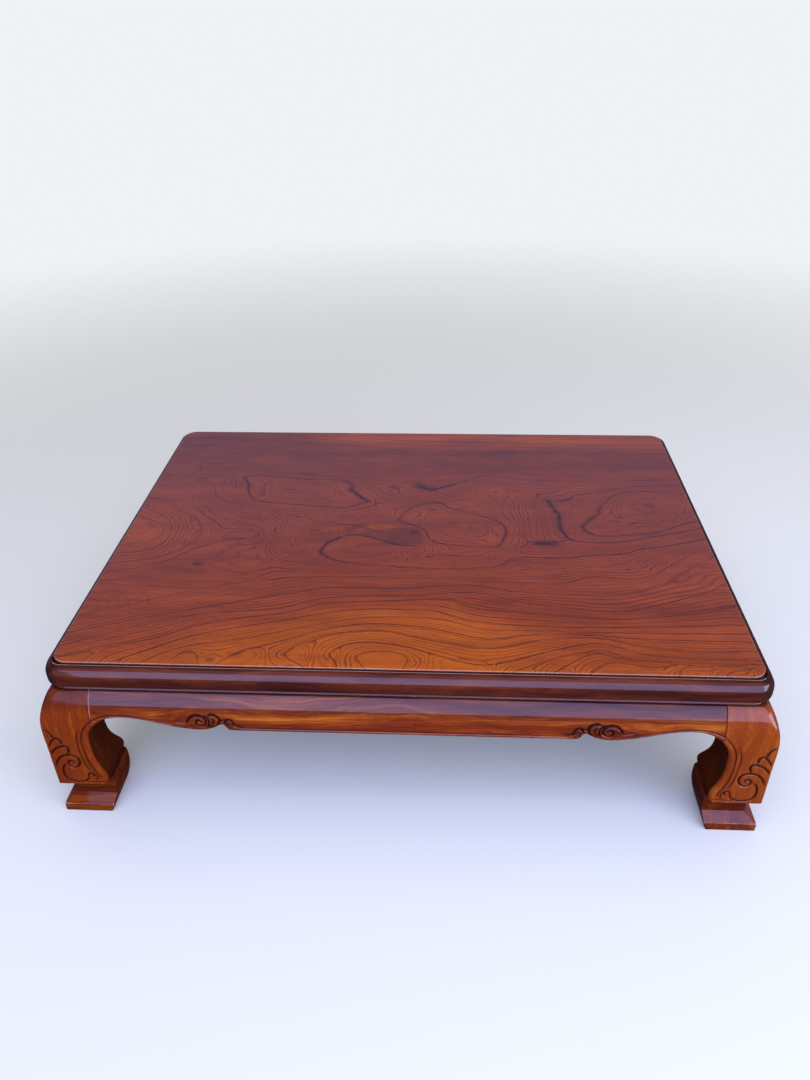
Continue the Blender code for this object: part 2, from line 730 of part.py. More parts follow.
def make_aprons():
    for index, name in enumerate(SIDES):
        half = side_half(index) - LEG_SIZE - SEAT_GAP
        low = APRON_LOW - APRON_HEIGHT / 3
        high = FRAME_TOP + APRON_HEIGHT / 3
        board = outline_mesh(apron_section(low), -half - LEG_SIZE, half + LEG_SIZE, "X")
        right = apron_edge(half)
        left = [(-place, height) for place, height in reversed(right)]
        outline = left + right + [(half, high), (-half, high)]
        shape = outline_mesh(outline, -LEG_SIZE, 2 * LEG_SIZE, "Y")
        apron = combined(board, shape, "INTERSECT")
        for end in (-1, 1):
            inner = half - TENON_LENGTH
            outer = half + TENON_LENGTH
            ends = sorted((end * inner, end * outer))
            tenon = box_mesh((ends[0], TENON_OFFSET, TENON_TOP - TENON_HEIGHT),
                             (ends[1], TENON_OFFSET + TENON_THICKNESS, TENON_TOP))
            apron = combined(apron, tenon, "UNION")
        apron_hole = screw_hole(APRON_SCREW_LENGTH)
        holes = [(apron_hole, place) for place in apron_screw_places(index)]
        add_part("apron_" + name, drilled(apron, holes), FRAME_WOOD, side_frame(index))


# Braces, cleats and battens
def make_braces():
    points = [(BRACE_NEAR - BRACE_BACK, BRACE_BACK), (BRACE_FAR - BRACE_BACK, BRACE_BACK),
              (BRACE_BACK, BRACE_FAR - BRACE_BACK), (BRACE_BACK, BRACE_NEAR - BRACE_BACK)]
    brace = outline_mesh(points, BRACE_TOP - BRACE_HEIGHT, BRACE_TOP, "Z")
    brace = drilled(brace, [(bolt_hole(), bolt_place())])
    for index, name in enumerate(CORNERS):
        add_part("corner_brace_" + name, brace, PLAIN_WOOD, corner_frame(index))


def make_cleats():
    for index, name in enumerate(SIDES):
        half = cleat_half(index)
        cleat = box_mesh((-half, CLEAT_NEAR, CLEAT_BOTTOM), (half, CLEAT_FAR, CLEAT_TOP))
        bore = CLEAT_TOP - CLEAT_BORE_STOP - CLEAT_BOTTOM
        top_hole = screw_hole(TOP_SCREW_LENGTH, bore)
        apron_hole = screw_hole(APRON_SCREW_LENGTH)
        cuts = [(top_hole, place) for place in top_screw_places(index)]
        cuts += [(apron_hole, place) for place in apron_screw_places(index)]
        add_part("cleat_" + name, drilled(cleat, cuts), PLAIN_WOOD, side_frame(index))


def batten_places():
    return (-BATTEN_SPACING, 0.0, BATTEN_SPACING)


def make_battens():
    hole = screw_hole(BATTEN_SCREW_LENGTH)
    for name, x in zip(BATTENS, batten_places()):
        low = (x - BATTEN_WIDTH / 2, -BATTEN_HALF, BATTEN_TOP - BATTEN_HEIGHT)
        high = (x + BATTEN_WIDTH / 2, BATTEN_HALF, BATTEN_TOP)
        batten = box_mesh(low, high, spread(BATTEN_SCREW_COUNT, BATTEN_HALF), (0.0, 1.0, 0.0))
        cuts = [(hole, place) for place in batten_screw_places(x)]
        add_part("batten_" + name, drilled(batten, cuts), PLAIN_WOOD)


def make_fasteners():
    """Each screw and bolt is a piece of its own, and copies share their mesh."""
    bolt = bolt_mesh()
    for index, name in enumerate(CORNERS):
        add_part("leg_bolt_" + name, bolt, STEEL, corner_frame(index) @ bolt_place())
    apron_screw = screw_mesh(APRON_SCREW_LENGTH)
    top_screw = screw_mesh(TOP_SCREW_LENGTH)
    for index, name in enumerate(SIDES):
        for kind, screw, places in (("apron", apron_screw, apron_screw_places(index)),
                                    ("top", top_screw, top_screw_places(index))):
            for number, place in enumerate(places, 1):
                add_part(f"{kind}_screw_{name}_{number}", screw, STEEL, side_frame(index) @ place)
    batten_screw = screw_mesh(BATTEN_SCREW_LENGTH)
    for name, x in zip(BATTENS, batten_places()):
        for number, place in enumerate(batten_screw_places(x), 1):
            add_part(f"batten_screw_{name}_{number}", batten_screw, STEEL, place)


def main():
    make_top()
    make_edges()
    make_legs()
    make_feet()
    make_aprons()
    make_braces()
    make_cleats()
    make_battens()
    make_fasteners()


main()
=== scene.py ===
from math import cos, pi, radians, sin, sqrt

import bpy
import numpy as np
from mathutils import Matrix, Vector


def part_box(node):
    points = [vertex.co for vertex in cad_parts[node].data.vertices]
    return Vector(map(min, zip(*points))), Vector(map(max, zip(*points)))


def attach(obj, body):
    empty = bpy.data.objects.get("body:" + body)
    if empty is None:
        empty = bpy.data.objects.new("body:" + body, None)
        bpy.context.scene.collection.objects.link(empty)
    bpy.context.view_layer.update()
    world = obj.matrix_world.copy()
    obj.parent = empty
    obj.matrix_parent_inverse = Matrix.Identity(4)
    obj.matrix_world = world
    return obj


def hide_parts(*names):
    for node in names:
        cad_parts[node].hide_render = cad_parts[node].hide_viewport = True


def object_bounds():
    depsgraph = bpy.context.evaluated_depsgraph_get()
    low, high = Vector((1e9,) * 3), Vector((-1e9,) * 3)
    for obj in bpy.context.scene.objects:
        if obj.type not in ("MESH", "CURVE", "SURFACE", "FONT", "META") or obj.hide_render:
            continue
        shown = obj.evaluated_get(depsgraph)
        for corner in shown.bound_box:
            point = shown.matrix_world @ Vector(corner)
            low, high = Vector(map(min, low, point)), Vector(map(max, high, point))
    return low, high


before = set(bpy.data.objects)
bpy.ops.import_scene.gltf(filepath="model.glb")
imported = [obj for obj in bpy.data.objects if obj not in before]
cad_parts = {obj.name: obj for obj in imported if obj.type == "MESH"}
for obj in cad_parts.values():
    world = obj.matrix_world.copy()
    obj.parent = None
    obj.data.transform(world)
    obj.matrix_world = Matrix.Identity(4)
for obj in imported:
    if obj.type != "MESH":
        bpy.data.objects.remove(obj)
cad_low, cad_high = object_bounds()

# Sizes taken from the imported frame, in metres
HALF_X = cad_high.x
HALF_Y = cad_high.y
TABLE_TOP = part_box("top_veneer")[1].z
VENEER_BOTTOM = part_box("top_veneer")[0].z
FIELD_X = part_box("top_veneer")[1].x
FIELD_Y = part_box("top_veneer")[1].y
TOP_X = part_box("edge_right")[1].x
TOP_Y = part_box("edge_back")[1].y
EDGE_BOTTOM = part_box("edge_front")[0].z
FRAME_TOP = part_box("leg_front_left")[1].z
LEG_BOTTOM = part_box("leg_front_left")[0].z
FOOT_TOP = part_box("foot_front_left")[1].z

# Sizes that no box of the frame gives: leg, inner face of an apron, edge of the veneer, open joint
LEG_SIZE = 0.094
APRON_BACK = 0.0544
FIELD_IN = 0.0039
FIELD_ROUND = 0.025
JOINT_GAP = 0.00025

# Bulge of the shoulder that legs and aprons share
FACE_INSET = 0.0015
SHOULDER_IN = 0.0315
SHOULDER_RISE = 0.0845
SHOULDER_START = FRAME_TOP - SHOULDER_RISE

# Bead that follows the carved inner edge, the groove beside it, and a second groove at a leg's waist
BEAD_ROUND = 0.0065
BEAD_PLACES = (0.090, 0.112, 0.140, 0.240, 0.345, 0.360)
BEAD_WIDTHS = (0.0115, 0.0085, 0.0055, 0.0055, 0.0085, 0.0085)
GROOVE_HALVES = (0.0030, 0.0015)
GROOVE_DEPTH = 0.0019
WAIST_GROOVE_IN = 0.0195
WAIST_GROOVE_HALF = 0.0026
WAIST_GROOVE_DEPTH = 0.0014

# Rounded edges of a leg, more so over the shoulder, and the flat that its brace sits against
CORNER_ROUND = 0.004
SHOULDER_ROUND = 0.011
SHOULDER_TURN = (0.225, 0.265)
SOLE_ROUND = 0.0015
INNER_EASE = 0.002
BRACE_FLAT = 0.168
BRACE_LEVEL = 0.205

# Inner edge of a carved face: toe, arch from the waist, slow fall, and the level between the scrolls
TOE_START = (0.090, 0.0703)
ARCH_MIDDLE = (0.145, 0.172)
ARCH_HALF = (0.067, 0.062)
FALL_START = 0.1453
FALL_END = 0.245
FALL_RUN = 0.14
FALL_HEIGHT = 0.0215
APRON_LOW = 0.2125
PAST_MIDDLE = 0.70

# Places from and to which the carving fades: c for the scroll and the waist's side, z for the others
SCROLL_START = (0.252, 0.262)
SCROLL_END = (0.343, 0.352)
WAIST_SIDE = (0.066, 0.080)
WAIST_LOW = (0.100, 0.115)
WAIST_HIGH = (0.190, 0.215)
TOE_FADE = (0.080, 0.092)
JOINT_FADE = (0.226, 0.236)
# Heights over which the painted shadow under the top's edge comes in
UNDER_TOP_SHADOW = (0.2755, 0.2785)

# How far a cut and the set-down beside it reach, the depth at which its painted shade is full, and narrow
# marks of wear
CUT_REACH = 0.012
SET_DOWN_REACH = 0.007
FULL_SHADE_DEPTH = 0.0015
ARRIS_REACH = 0.0022
JOINT_REACH = 0.0016

CORNERS = ("front_left", "front_right", "back_right", "back_left")
SIDES = ("front", "right", "back", "left")


def mm(points):
    """Measured places in millimetres, as metres."""
    return np.array(points, dtype=float) * 0.001


def smooth_curve(points, steps=8):
    """A flowing curve through measured points."""
    points = np.asarray(points, dtype=float)
    before = np.vstack((2 * points[0] - points[1], points[:-1]))
    after = np.vstack((points[1:], 2 * points[-1] - points[-2]))
    tangent = (after - before) / 2
    share = np.linspace(0.0, 1.0, steps, endpoint=False)[:, None]
    pieces = []
    for i in range(len(points) - 1):
        a, b = points[i], points[i + 1]
        ta, tb = tangent[i], tangent[i + 1]
        pieces.append((2 * share**3 - 3 * share**2 + 1) * a + (share**3 - 2 * share**2 + share) * ta
                      + (3 * share**2 - 2 * share**3) * b + (share**3 - share**2) * tb)
    pieces.append(points[-1:])
    return np.vstack(pieces)


def near_path(places, path):
    """Distance to a path, the side of it (+1 left of its run) and the share along it."""
    best = np.full(len(places), 1e9)
    side = np.zeros(len(places))
    share = np.zeros(len(places))
    run = 0.0
    total = np.sqrt(((path[1:] - path[:-1]) ** 2).sum(1)).sum()
    for a, b in zip(path[:-1], path[1:]):
        d = b - a
        length2 = max(float(d @ d), 1e-16)
        offset = places - a
        t = np.clip(offset @ d / length2, 0.0, 1.0)
        gap = offset - t[:, None] * d
        distance = np.sqrt((gap * gap).sum(1))
        closer = distance < best
        best[closer] = distance[closer]
        side[closer] = np.sign(d[0] * offset[closer, 1] - d[1] * offset[closer, 0])
        share[closer] = (run + t[closer] * sqrt(length2)) / total
        run += sqrt(length2)
    return best, side, share


def eased(value, low, high):
    """0 below low, 1 above high and a soft slope between."""
    t = np.clip((value - low) / (high - low), 0.0, 1.0)
    return t * t * (3 - 2 * t)


# Carved faces. A face is measured by c, in from the outer corner plane, and z, up from the floor.

def inner_line():
    """Inner edge of a carved half face: toe, hollow, arch, scroll, then straight to the middle."""
    hollow = smooth_curve(mm([(92.4, 76.4), (93.6, 81), (94, 86), (93.7, 91), (92.2, 96.4), (88.6, 105),
                              (85, 114), (81.9, 123.6), (79.7, 134), (78.4, 146), (78, 160), (78, 172)]), 5)
    turn = np.linspace(0.0, pi / 2, 40)[1:]
    arch = np.stack((ARCH_MIDDLE[0] - ARCH_HALF[0] * np.cos(turn),
                     ARCH_MIDDLE[1] + ARCH_HALF[1] * np.sin(turn)), 1)
    c = np.linspace(FALL_START, FALL_END, 24)[1:]
    fall = np.stack((c, APRON_LOW + FALL_HEIGHT * (0.5 + 0.5 * np.cos(pi * (c - FALL_START) / FALL_RUN))), 1)
    scroll = smooth_curve(mm([(245, 216.6), (255, 215.2), (265, 214), (277, 213), (290, 213.4), (299, 215.4),
                              (307, 218.6), (315, 222.6), (321, 224.6), (325, 222), (328, 217.6),
                              (332, 214.6), (337, 213), (345, 212.5), (352, 212.5)]), 6)[1:]
    return np.vstack(([TOE_START], hollow, arch, fall, scroll, [(PAST_MIDDLE, APRON_LOW)]))


INNER_LINE = inner_line()

# Its part up a leg, and its part along an apron
RISING = INNER_LINE[INNER_LINE[:, 0] <= 0.0955]
LOWER = INNER_LINE[INNER_LINE[:, 1] > 0.19]
LOWER = LOWER[np.argsort(LOWER[:, 0], kind="stable")]

# Cuts on a leg: points in mm, then depth, half width and set-down of the outside in the leg's cut units
LEG_CUTS = [
    ([(5, 204.5), (9, 203), (13, 198.5), (16.5, 192), (17.3, 185)], 1.5, 2.0, 0.5),
    ([(5, 163), (11, 173), (16, 180), (21, 184), (26, 183.6), (29, 178), (29, 169.5)], 1.6, 2.1, 0.6),
    ([(3.5, 142), (10, 152), (17, 159), (26, 163.4), (32, 165.4), (36.8, 164.5), (39, 159.5), (38, 153),
      (35.5, 146.5)], 1.7, 2.2, 0.7),
    ([(6.5, 114), (9, 120), (12.5, 128), (19, 136.5), (27, 142), (36, 144), (44, 142.3), (50, 138),
      (52.8, 131), (51.5, 123), (48, 117), (42, 113), (36, 114.5), (31.7, 120), (32.4, 126.6), (38, 129),
      (42, 126), (40.3, 121.6)], 1.9, 2.2, 0.6),
    ([(29.5, 124), (23, 118), (19, 111), (17, 102), (17, 93), (20, 85), (26, 79), (38, 76.2), (49, 77.2),
      (56, 80.5), (60, 86), (60.6, 92.5), (63, 97), (67.5, 98.6), (71, 95.5), (70, 91), (66, 90.2)],
     1.7, 2.0, 0.4),
    ([(50, 77), (62, 76.6), (76, 77), (89, 78.5)], 1.2, 1.6, 0.0),
    ([(72.5, 97), (75.5, 92), (76.5, 86), (74, 81)], 1.1, 1.7, 0.3),
]

# Cuts of the scroll on an apron, in the same way
APRON_CUTS = [
    ([(258, 225), (260.5, 230), (264, 236), (269, 241), (276, 243.4), (284, 242.6), (290, 239.5),
      (293.5, 234), (292.5, 228), (287.5, 224.4), (281, 224.4), (277, 228), (277.4, 233), (281.5, 235.6),
      (285.5, 233.4), (285, 230)], 2.4, 2.1, 0.8),
    ([(290, 243), (296, 239), (299, 233), (298.6, 226), (295, 219.5)], 2.4, 2.0, 0.5),
    ([(296, 243), (301, 245), (307, 245), (313, 242), (316.6, 237), (316, 230.5), (311.5, 224.5),
      (306.5, 220.5)], 2.3, 2.1, 0.8),
    ([(303.5, 241), (306.8, 235.5), (305.8, 229), (301.5, 222)], 1.7, 1.8, 0.0),
    ([(317, 232), (321.5, 234.6), (328, 235.5)], 1.4, 1.8, 0.4),
    ([(324.5, 226), (326, 231.5), (330, 236), (335, 236), (339.6, 231.5), (342, 225.5), (347, 223.9),
      (356, 223.9)], 2.0, 2.0, 0.7),
    ([(337.5, 226), (336, 229.6), (332.2, 229.8), (330.4, 226), (332.6, 222.8), (335, 224.6)], 1.4, 1.4, 0.0),
    ([(240, 231), (251, 228.6), (258, 226)], 0.7, 1.6, 0.0),
]

# Parts of the scroll that stand proud: middle and half axes in mm, rise in mm
APRON_SWELLS = [((279, 232), (19, 13), 2.2), ((306, 232), (13, 14), 2.0), ((334, 226), (9, 11), 1.6)]


# Metres to a unit of depth, half width and set-down
LEG_CUT_UNITS = (0.0013, 0.0015, 0.0028)
APRON_CUT_UNITS = (0.0014, 0.0014, 0.0014)


def carved_cuts(cuts, units):
    deep, wide, low = units
    return [(smooth_curve(mm(points), 6), depth * deep, width * wide, drop * low)
            for points, depth, width, drop in cuts]


ALL_CUTS = carved_cuts(LEG_CUTS, LEG_CUT_UNITS) + carved_cuts(APRON_CUTS, APRON_CUT_UNITS)


def carving(places):
    """Depth of the carving below the plain face, its painted shade, how worn and how near a joint each place
    is.
    """
    distance, _, _ = near_path(places, INNER_LINE)
    c, z = places[:, 0], places[:, 1]
    bead = np.interp(c, BEAD_PLACES, BEAD_WIDTHS)
    turn = np.minimum(BEAD_ROUND, 0.8 * bead)
    inside = np.clip(turn - distance, 0.0, turn)
    depth = turn - np.sqrt(np.maximum(turn**2 - inside**2, 0.0))
    beside = distance - bead
    width = np.where(beside < 0, *GROOVE_HALVES)
    fade = (1 - eased(c, *SCROLL_START) * (1 - eased(c, *SCROLL_END))) * eased(z, *TOE_FADE)
    groove = GROOVE_DEPTH * np.clip(1 - np.abs(beside) / width, 0.0, 1.0) ** 1.3 * fade
    second = np.clip(1 - np.abs(distance - WAIST_GROOVE_IN) / WAIST_GROOVE_HALF, 0.0, 1.0)
    second = WAIST_GROOVE_DEPTH * second * (1 - eased(c, *WAIST_SIDE)) * fade
    second = second * eased(z, *WAIST_LOW) * (1 - eased(z, *WAIST_HIGH))
    # Painted shade down in the grooves, weaker on the bead's side
    recess = np.maximum(groove * np.where(beside < -0.0012, 0.4, 1.0), second)
    depth = depth + groove + second
    for path, cut, half, drop in ALL_CUTS:
        low, high = path.min(0) - CUT_REACH, path.max(0) + CUT_REACH
        here = np.flatnonzero(((places >= low) & (places <= high)).all(1))
        if not len(here):
            continue
        gap, side, share = near_path(places[here], path)
        taper = eased(share, -0.02, 0.10) * (1 - 0.75 * eased(share, 0.93, 1.0))
        notch = cut * np.clip(1 - gap / half, 0.0, 1.0) ** 1.2 * taper
        slope = drop * np.clip(1 - gap / SET_DOWN_REACH, 0.0, 1.0) ** 2 * np.clip(side, 0.0, 1.0) * taper
        depth[here] = np.maximum(depth[here], depth[here] * 0.6 + notch) + slope
        # Painted shade down in each cut
        recess[here] = np.maximum(recess[here], notch * np.clip(1.25 - gap / half, 0.0, 1.0))
    recess = np.clip(recess / FULL_SHADE_DEPTH, 0.0, 1.0)
    for middle, axes, rise in APRON_SWELLS:
        spread = np.sqrt((((places - mm(middle)) / mm(axes)) ** 2).sum(1))
        depth = depth - rise * 0.001 * (1 - eased(spread, 0.55, 1.15))
        # Painted shade over the proud parts of the scroll
        recess = np.maximum(recess, 0.42 * (1 - eased(spread, 0.75, 1.0)))
    # Painted shadow under the top's edge
    recess = np.maximum(recess, 0.85 * eased(z, *UNDER_TOP_SHADOW))
    worn = np.clip(1 - distance / ARRIS_REACH, 0.0, 1.0) * 0.35
    joint = np.clip(1 - np.abs(c - LEG_SIZE) / JOINT_REACH, 0.0, 1.0) * eased(z, *JOINT_FADE)
    return depth, recess, worn, joint


def carved(c, z):
    """The carving over a sheet of places, in the sheet's own rows and columns."""
    return [part.reshape(c.shape) for part in carving(np.stack((c.ravel(), z.ravel()), 1))]


def with_joint(recess, worn, joint, light):
    """A joint that has opened shows light, a tight one dark."""
    return np.maximum(recess, (1 - light) * joint), np.maximum(worn, 0.95 * light * joint)


def shoulder_inset(z):
    t = np.clip((z - SHOULDER_START) / SHOULDER_RISE, 0.0, 1.0)
    return FACE_INSET + SHOULDER_IN * (1 - np.sqrt(np.maximum(1 - t * t, 0.0)))


def shoulder_levels(low, count):
    """Heights from low to the frame's top, even round the shoulder's curve."""
    first = np.arcsin(np.clip((low - SHOULDER_START) / SHOULDER_RISE, 0.0, 1.0))
    return SHOULDER_START + SHOULDER_RISE * np.sin(np.linspace(first, pi / 2, count))


def tube_faces(rings, size):
    """Quads between closed rings of points, with a face on each end."""
    first = np.arange(size)
    following = np.roll(first, -1)
    faces = []
    for i in range(rings - 1):
        a, b = i * size, (i + 1) * size
        faces += np.stack((a + first, a + following, b + following, b + first), 1).tolist()
    return faces + [first[::-1].tolist(), (first + (rings - 1) * size).tolist()]


def enclosed_volume(places, faces):
    """Positive where the faces look outward."""
    total = 0.0
    for face in faces:
        corners = places[list(face)]
        edges = corners[1:] - corners[0]
        total += float((np.cross(edges[:-1], edges[1:]) @ corners[0]).sum())
    return total


def add_piece(name, places, faces, node, slot, material, values, crease):
    """A shown piece that stands for one CAD node, with its values for each point or for all of them.

    The finishes read them: the painted shade of cuts, grooves, undersides and inner faces with the dark line
    of a tight joint, worn how rubbed it is, tint how light its wood (on the aprons partly painted light),
    calm how even, shade the painted shade of a shoulder or foot, shine how glossy, and grain_place where its
    fibre is taken from.
    """
    places = np.asarray(places, dtype=float)
    if enclosed_volume(places, faces) < 0:
        faces = [face[::-1] for face in faces]
    mesh = bpy.data.meshes.new(name)
    mesh.from_pydata(places.tolist(), [], faces)
    for key, data in values.items():
        data = np.asarray(data, dtype=np.float32)
        if data.ndim == 2:
            mesh.attributes.new(key, "FLOAT_VECTOR", "POINT").data.foreach_set("vector", data.ravel())
        else:
            data = np.full(len(places), data, dtype=np.float32)
            mesh.attributes.new(key, "FLOAT", "POINT").data.foreach_set("value", data)
    mesh.materials.append(material)
    mesh.shade_smooth()
    mesh.set_sharp_from_angle(angle=radians(crease))
    piece = bpy.data.objects.new(name, mesh)
    bpy.context.scene.collection.objects.link(piece)
    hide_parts(node)
    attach(piece, "root")


def add_rings(name, rings, place, *rest):
    """A shown piece made of closed rings of points, set in its place on the table."""
    turn = np.array(place.to_3x3())
    places = rings.reshape(-1, 3) @ turn.T + np.array(place.translation)
    add_piece(name, places, tube_faces(*rings.shape[:2]), *rest)


def corner_place(index):
    side_x, side_y = ((-1, -1), (1, -1), (1, 1), (-1, 1))[index]
    shift = (side_x * HALF_X, side_y * HALF_Y, 0.0)
    return Matrix.Translation(shift) @ Matrix.Rotation(index * pi / 2, 4, "Z")


def side_place(index, half_x, half_y):
    shift = ((0, -half_y, 0), (half_x, 0, 0), (0, half_y, 0), (-half_x, 0, 0))[index]
    return Matrix.Translation(shift) @ Matrix.Rotation(index * pi / 2, 4, "Z")


# Node helpers

class Wire:
    """A node's output, which adds and multiplies like a number."""

    def __init__(self, socket):
        self.socket = socket
        self.tree = socket.id_data

    def __add__(self, other):
        return calc("ADD", self, other)

    def __sub__(self, other):
        return calc("SUBTRACT", self, other)

    def __rsub__(self, other):
        return calc("SUBTRACT", other, self)

    def __mul__(self, other):
        return calc("MULTIPLY", self, other)


def put(tree, kind, **settings):
    node = tree.nodes.new(kind)
    for key, value in settings.items():
        setattr(node, key, value)
    return node


def wire(node, key=0):
    return Wire(node.outputs[key])


def feed(socket, value):
    """Link a socket, or set its value where a plain number or colour is given."""
    if isinstance(value, Wire):
        value.tree.links.new(value.socket, socket)
    elif value is not None:
        socket.default_value = value


def fill(node, **values):
    """Feed a node's inputs by their names, with _ for a space."""
    for key, value in values.items():
        feed(node.inputs[key.replace("_", " ")], value)


def tree_of(*values):
    return next(value.tree for value in values if isinstance(value, Wire))


def calc(operation, a, b=None, clamp=False):
    node = put(tree_of(a, b), "ShaderNodeMath", operation=operation, use_clamp=clamp)
    feed(node.inputs[0], a)
    feed(node.inputs[1], b)
    return wire(node)


def span(value, low, high, to_low=0.0, to_high=1.0):
    """Soft step of a value from one range to another."""
    node = put(value.tree, "ShaderNodeMapRange", interpolation_type="SMOOTHSTEP")
    fill(node, Value=value, From_Min=low, From_Max=high, To_Min=to_low, To_Max=to_high)
    return wire(node, "Result")


def mingle(share, a, b, mode="MIX"):
    """Two colours mixed by a share."""
    node = put(tree_of(share, a, b), "ShaderNodeMix", data_type="RGBA", blend_type=mode)
    feed(node.inputs[0], share)
    for number, colour in ((6, a), (7, b)):
        feed(node.inputs[number], (*colour, 1.0) if isinstance(colour, tuple) else colour)
    return wire(node, 2)


def stretched(vector, scale):
    node = put(vector.tree, "ShaderNodeMapping")
    fill(node, Vector=vector, Scale=scale)
    return wire(node, "Vector")


def cloud(vector, scale, detail=2.0, rough=0.5):
    """Noise of one scale, or stretched by three."""
    if isinstance(scale, tuple):
        vector, scale = stretched(vector, scale), 1.0
    node = put(vector.tree, "ShaderNodeTexNoise")
    fill(node, Vector=vector, Scale=scale, Detail=detail, Roughness=rough)
    return wire(node, "Fac")


def value_of(tree, name, output="Fac"):
    return wire(put(tree, "ShaderNodeAttribute", attribute_name=name), output)


def spot_of(tree):
    return wire(put(tree, "ShaderNodeTexCoord"), "Object")


def colours(share, stops):
    node = put(share.tree, "ShaderNodeValToRGB")
    feed(node.inputs[0], share)
    band = node.color_ramp
    while len(band.elements) < len(stops):
        band.elements.new(0.5)
    for element, (place, colour) in zip(band.elements, stops):
        element.position = place
        element.color = (*colour, 1.0)
    return wire(node, "Color")


def raised(height, strength, distance):
    node = put(height.tree, "ShaderNodeBump")
    fill(node, Strength=strength, Distance=distance, Height=height)
    return wire(node, "Normal")


# Effects that the finishes share

PLACE = ("Place", "NodeSocketVector")


def start_group(name, inputs, outputs):
    """A new group's inputs, and the node that its outputs are fed to."""
    tree = bpy.data.node_groups.new(name, "ShaderNodeTree")
    for key, kind in inputs:
        tree.interface.new_socket(key, in_out="INPUT", socket_type=kind)
    for key in outputs:
        tree.interface.new_socket(key, in_out="OUTPUT", socket_type="NodeSocketFloat")
    source = put(tree, "NodeGroupInput")
    return [wire(source, key) for key, _ in inputs], put(tree, "NodeGroupOutput")


def use_group(group, **inputs):
    node = put(tree_of(*inputs.values()), "ShaderNodeGroup", node_tree=group)
    fill(node, **inputs)
    return {socket.name: Wire(socket) for socket in node.outputs}


def fibre_group():
    """Straight wood fibre along the first axis of Place: broad streaks, fine pores and their height."""
    (place,), sink = start_group("wood_fibre", [PLACE], ["Streak", "Pores", "Height"])
    push = put(place.tree, "ShaderNodeVectorMath", operation="SCALE")
    feed(push.inputs[0], (0.0, 0.05, 0.05))
    fill(push, Scale=cloud(place, (5.0, 12.0, 12.0)))
    shifted = put(place.tree, "ShaderNodeVectorMath", operation="ADD")
    feed(shifted.inputs[0], place)
    feed(shifted.inputs[1], wire(push))
    along = wire(shifted)
    broad = cloud(along, (2.2, 46.0, 46.0), 3.0, 0.6)
    fine = cloud(along, (16.0, 420.0, 420.0), 2.0, 0.6)
    pores = span(cloud(along, (70.0, 1500.0, 1500.0), 1.0), 0.60, 0.74)
    fill(sink, Streak=broad * 0.7 + fine * 0.3, Pores=pores, Height=fine * 0.35 - pores)
    return place.tree


def lacquer_group():
    """Old lacquer: scuffs and dust that dull it here and there, and a slight ripple."""
    (place,), sink = start_group("old_lacquer", [PLACE], ["Dull", "Ripple", "Specks"])
    haze = span(cloud(place, 9.0, 4.0, 0.6), 0.40, 0.70)
    rubs = span(cloud(place, (14.0, 130.0, 130.0), 2.0, 0.6), 0.58, 0.74)
    specks = span(cloud(place, 520.0, 1.0), 0.72, 0.80)
    fill(sink, Dull=haze * 0.6 + rubs * 0.4, Ripple=cloud(place, 34.0), Specks=specks)
    return place.tree


def wear_group():
    """Where an arris is rubbed through: broken up along its length."""
    (place, worn), sink = start_group("worn_arris", [PLACE, ("Worn", "NodeSocketFloat")], ["Mask"])
    patches = cloud(place, 26.0, 3.0, 0.6)
    chips = cloud(place, 240.0, 2.0, 0.6)
    fill(sink, Mask=span(worn + (patches * 0.75 + chips * 0.45), 1.12, 1.42))
    return place.tree


FIBRE = fibre_group()
LACQUER = lacquer_group()
WEAR = wear_group()


# Finishes

def new_material(name):
    material = bpy.data.materials.new(name)
    material.use_nodes = True
    tree = material.node_tree
    return material, tree, tree.nodes["Principled BSDF"]


def lacquered_wood(name, roughness):
    """Clear lacquer over wood that hardly shines by itself, with its scuffs and worn places."""
    material, tree, shader = new_material(name)
    fill(shader, Specular_IOR_Level=0.05, Coat_Weight=1.0, Coat_Roughness=roughness)
    spot = spot_of(tree)
    lacquer = use_group(LACQUER, Place=spot)
    worn = use_group(WEAR, Place=spot, Worn=value_of(tree, "worn"))["Mask"]
    return material, tree, shader, spot, lacquer, worn


def frame_material():
    """Red-brown lacquered wood of legs, aprons and feet."""
    material, tree, shader, _, lacquer, worn = lacquered_wood("frame_lacquer", 0.06)
    fibre = use_group(FIBRE, Place=value_of(tree, "grain_place", "Vector"))
    recess = value_of(tree, "recess")
    base = colours(fibre["Streak"], [(0.36, (0.080, 0.007, 0.002)), (0.46, (0.180, 0.020, 0.002)),
                                     (0.54, (0.300, 0.046, 0.003)), (0.64, (0.560, 0.140, 0.008))])
    base = mingle(fibre["Pores"] * 0.45, base, (0.040, 0.008, 0.004))
    mean = mingle(value_of(tree, "tint"), (0.190, 0.021, 0.002), (0.370, 0.066, 0.003))
    base = mingle(value_of(tree, "calm"), base, mean)
    # Painted shade over the tops of the shoulders and over the feet
    base = mingle(value_of(tree, "shade"), base, mingle(1.0, base, (0.36, 0.30, 0.40), "MULTIPLY"))
    # Painted shade in cuts, grooves, undersides and inner faces, and the dark line of a tight joint
    base = mingle(recess * 0.90, base, (0.014, 0.003, 0.002))
    base = mingle(worn * 0.75, base, (0.56, 0.33, 0.25))
    rough = lacquer["Dull"] * 0.14 + 0.42 + worn * 0.25
    normal = raised(fibre["Height"] * 0.25 + lacquer["Ripple"], 0.18, 0.0009)
    # The lacquer has no shine where the painted shade is deep, in the cuts, under the top and on the inner
    # faces
    coat = span(recess, 0.15, 0.60, 1.0, 0.0) * value_of(tree, "shine")
    fill(shader, Base_Color=base, Roughness=rough, Normal=normal, Coat_Weight=coat)
    return material


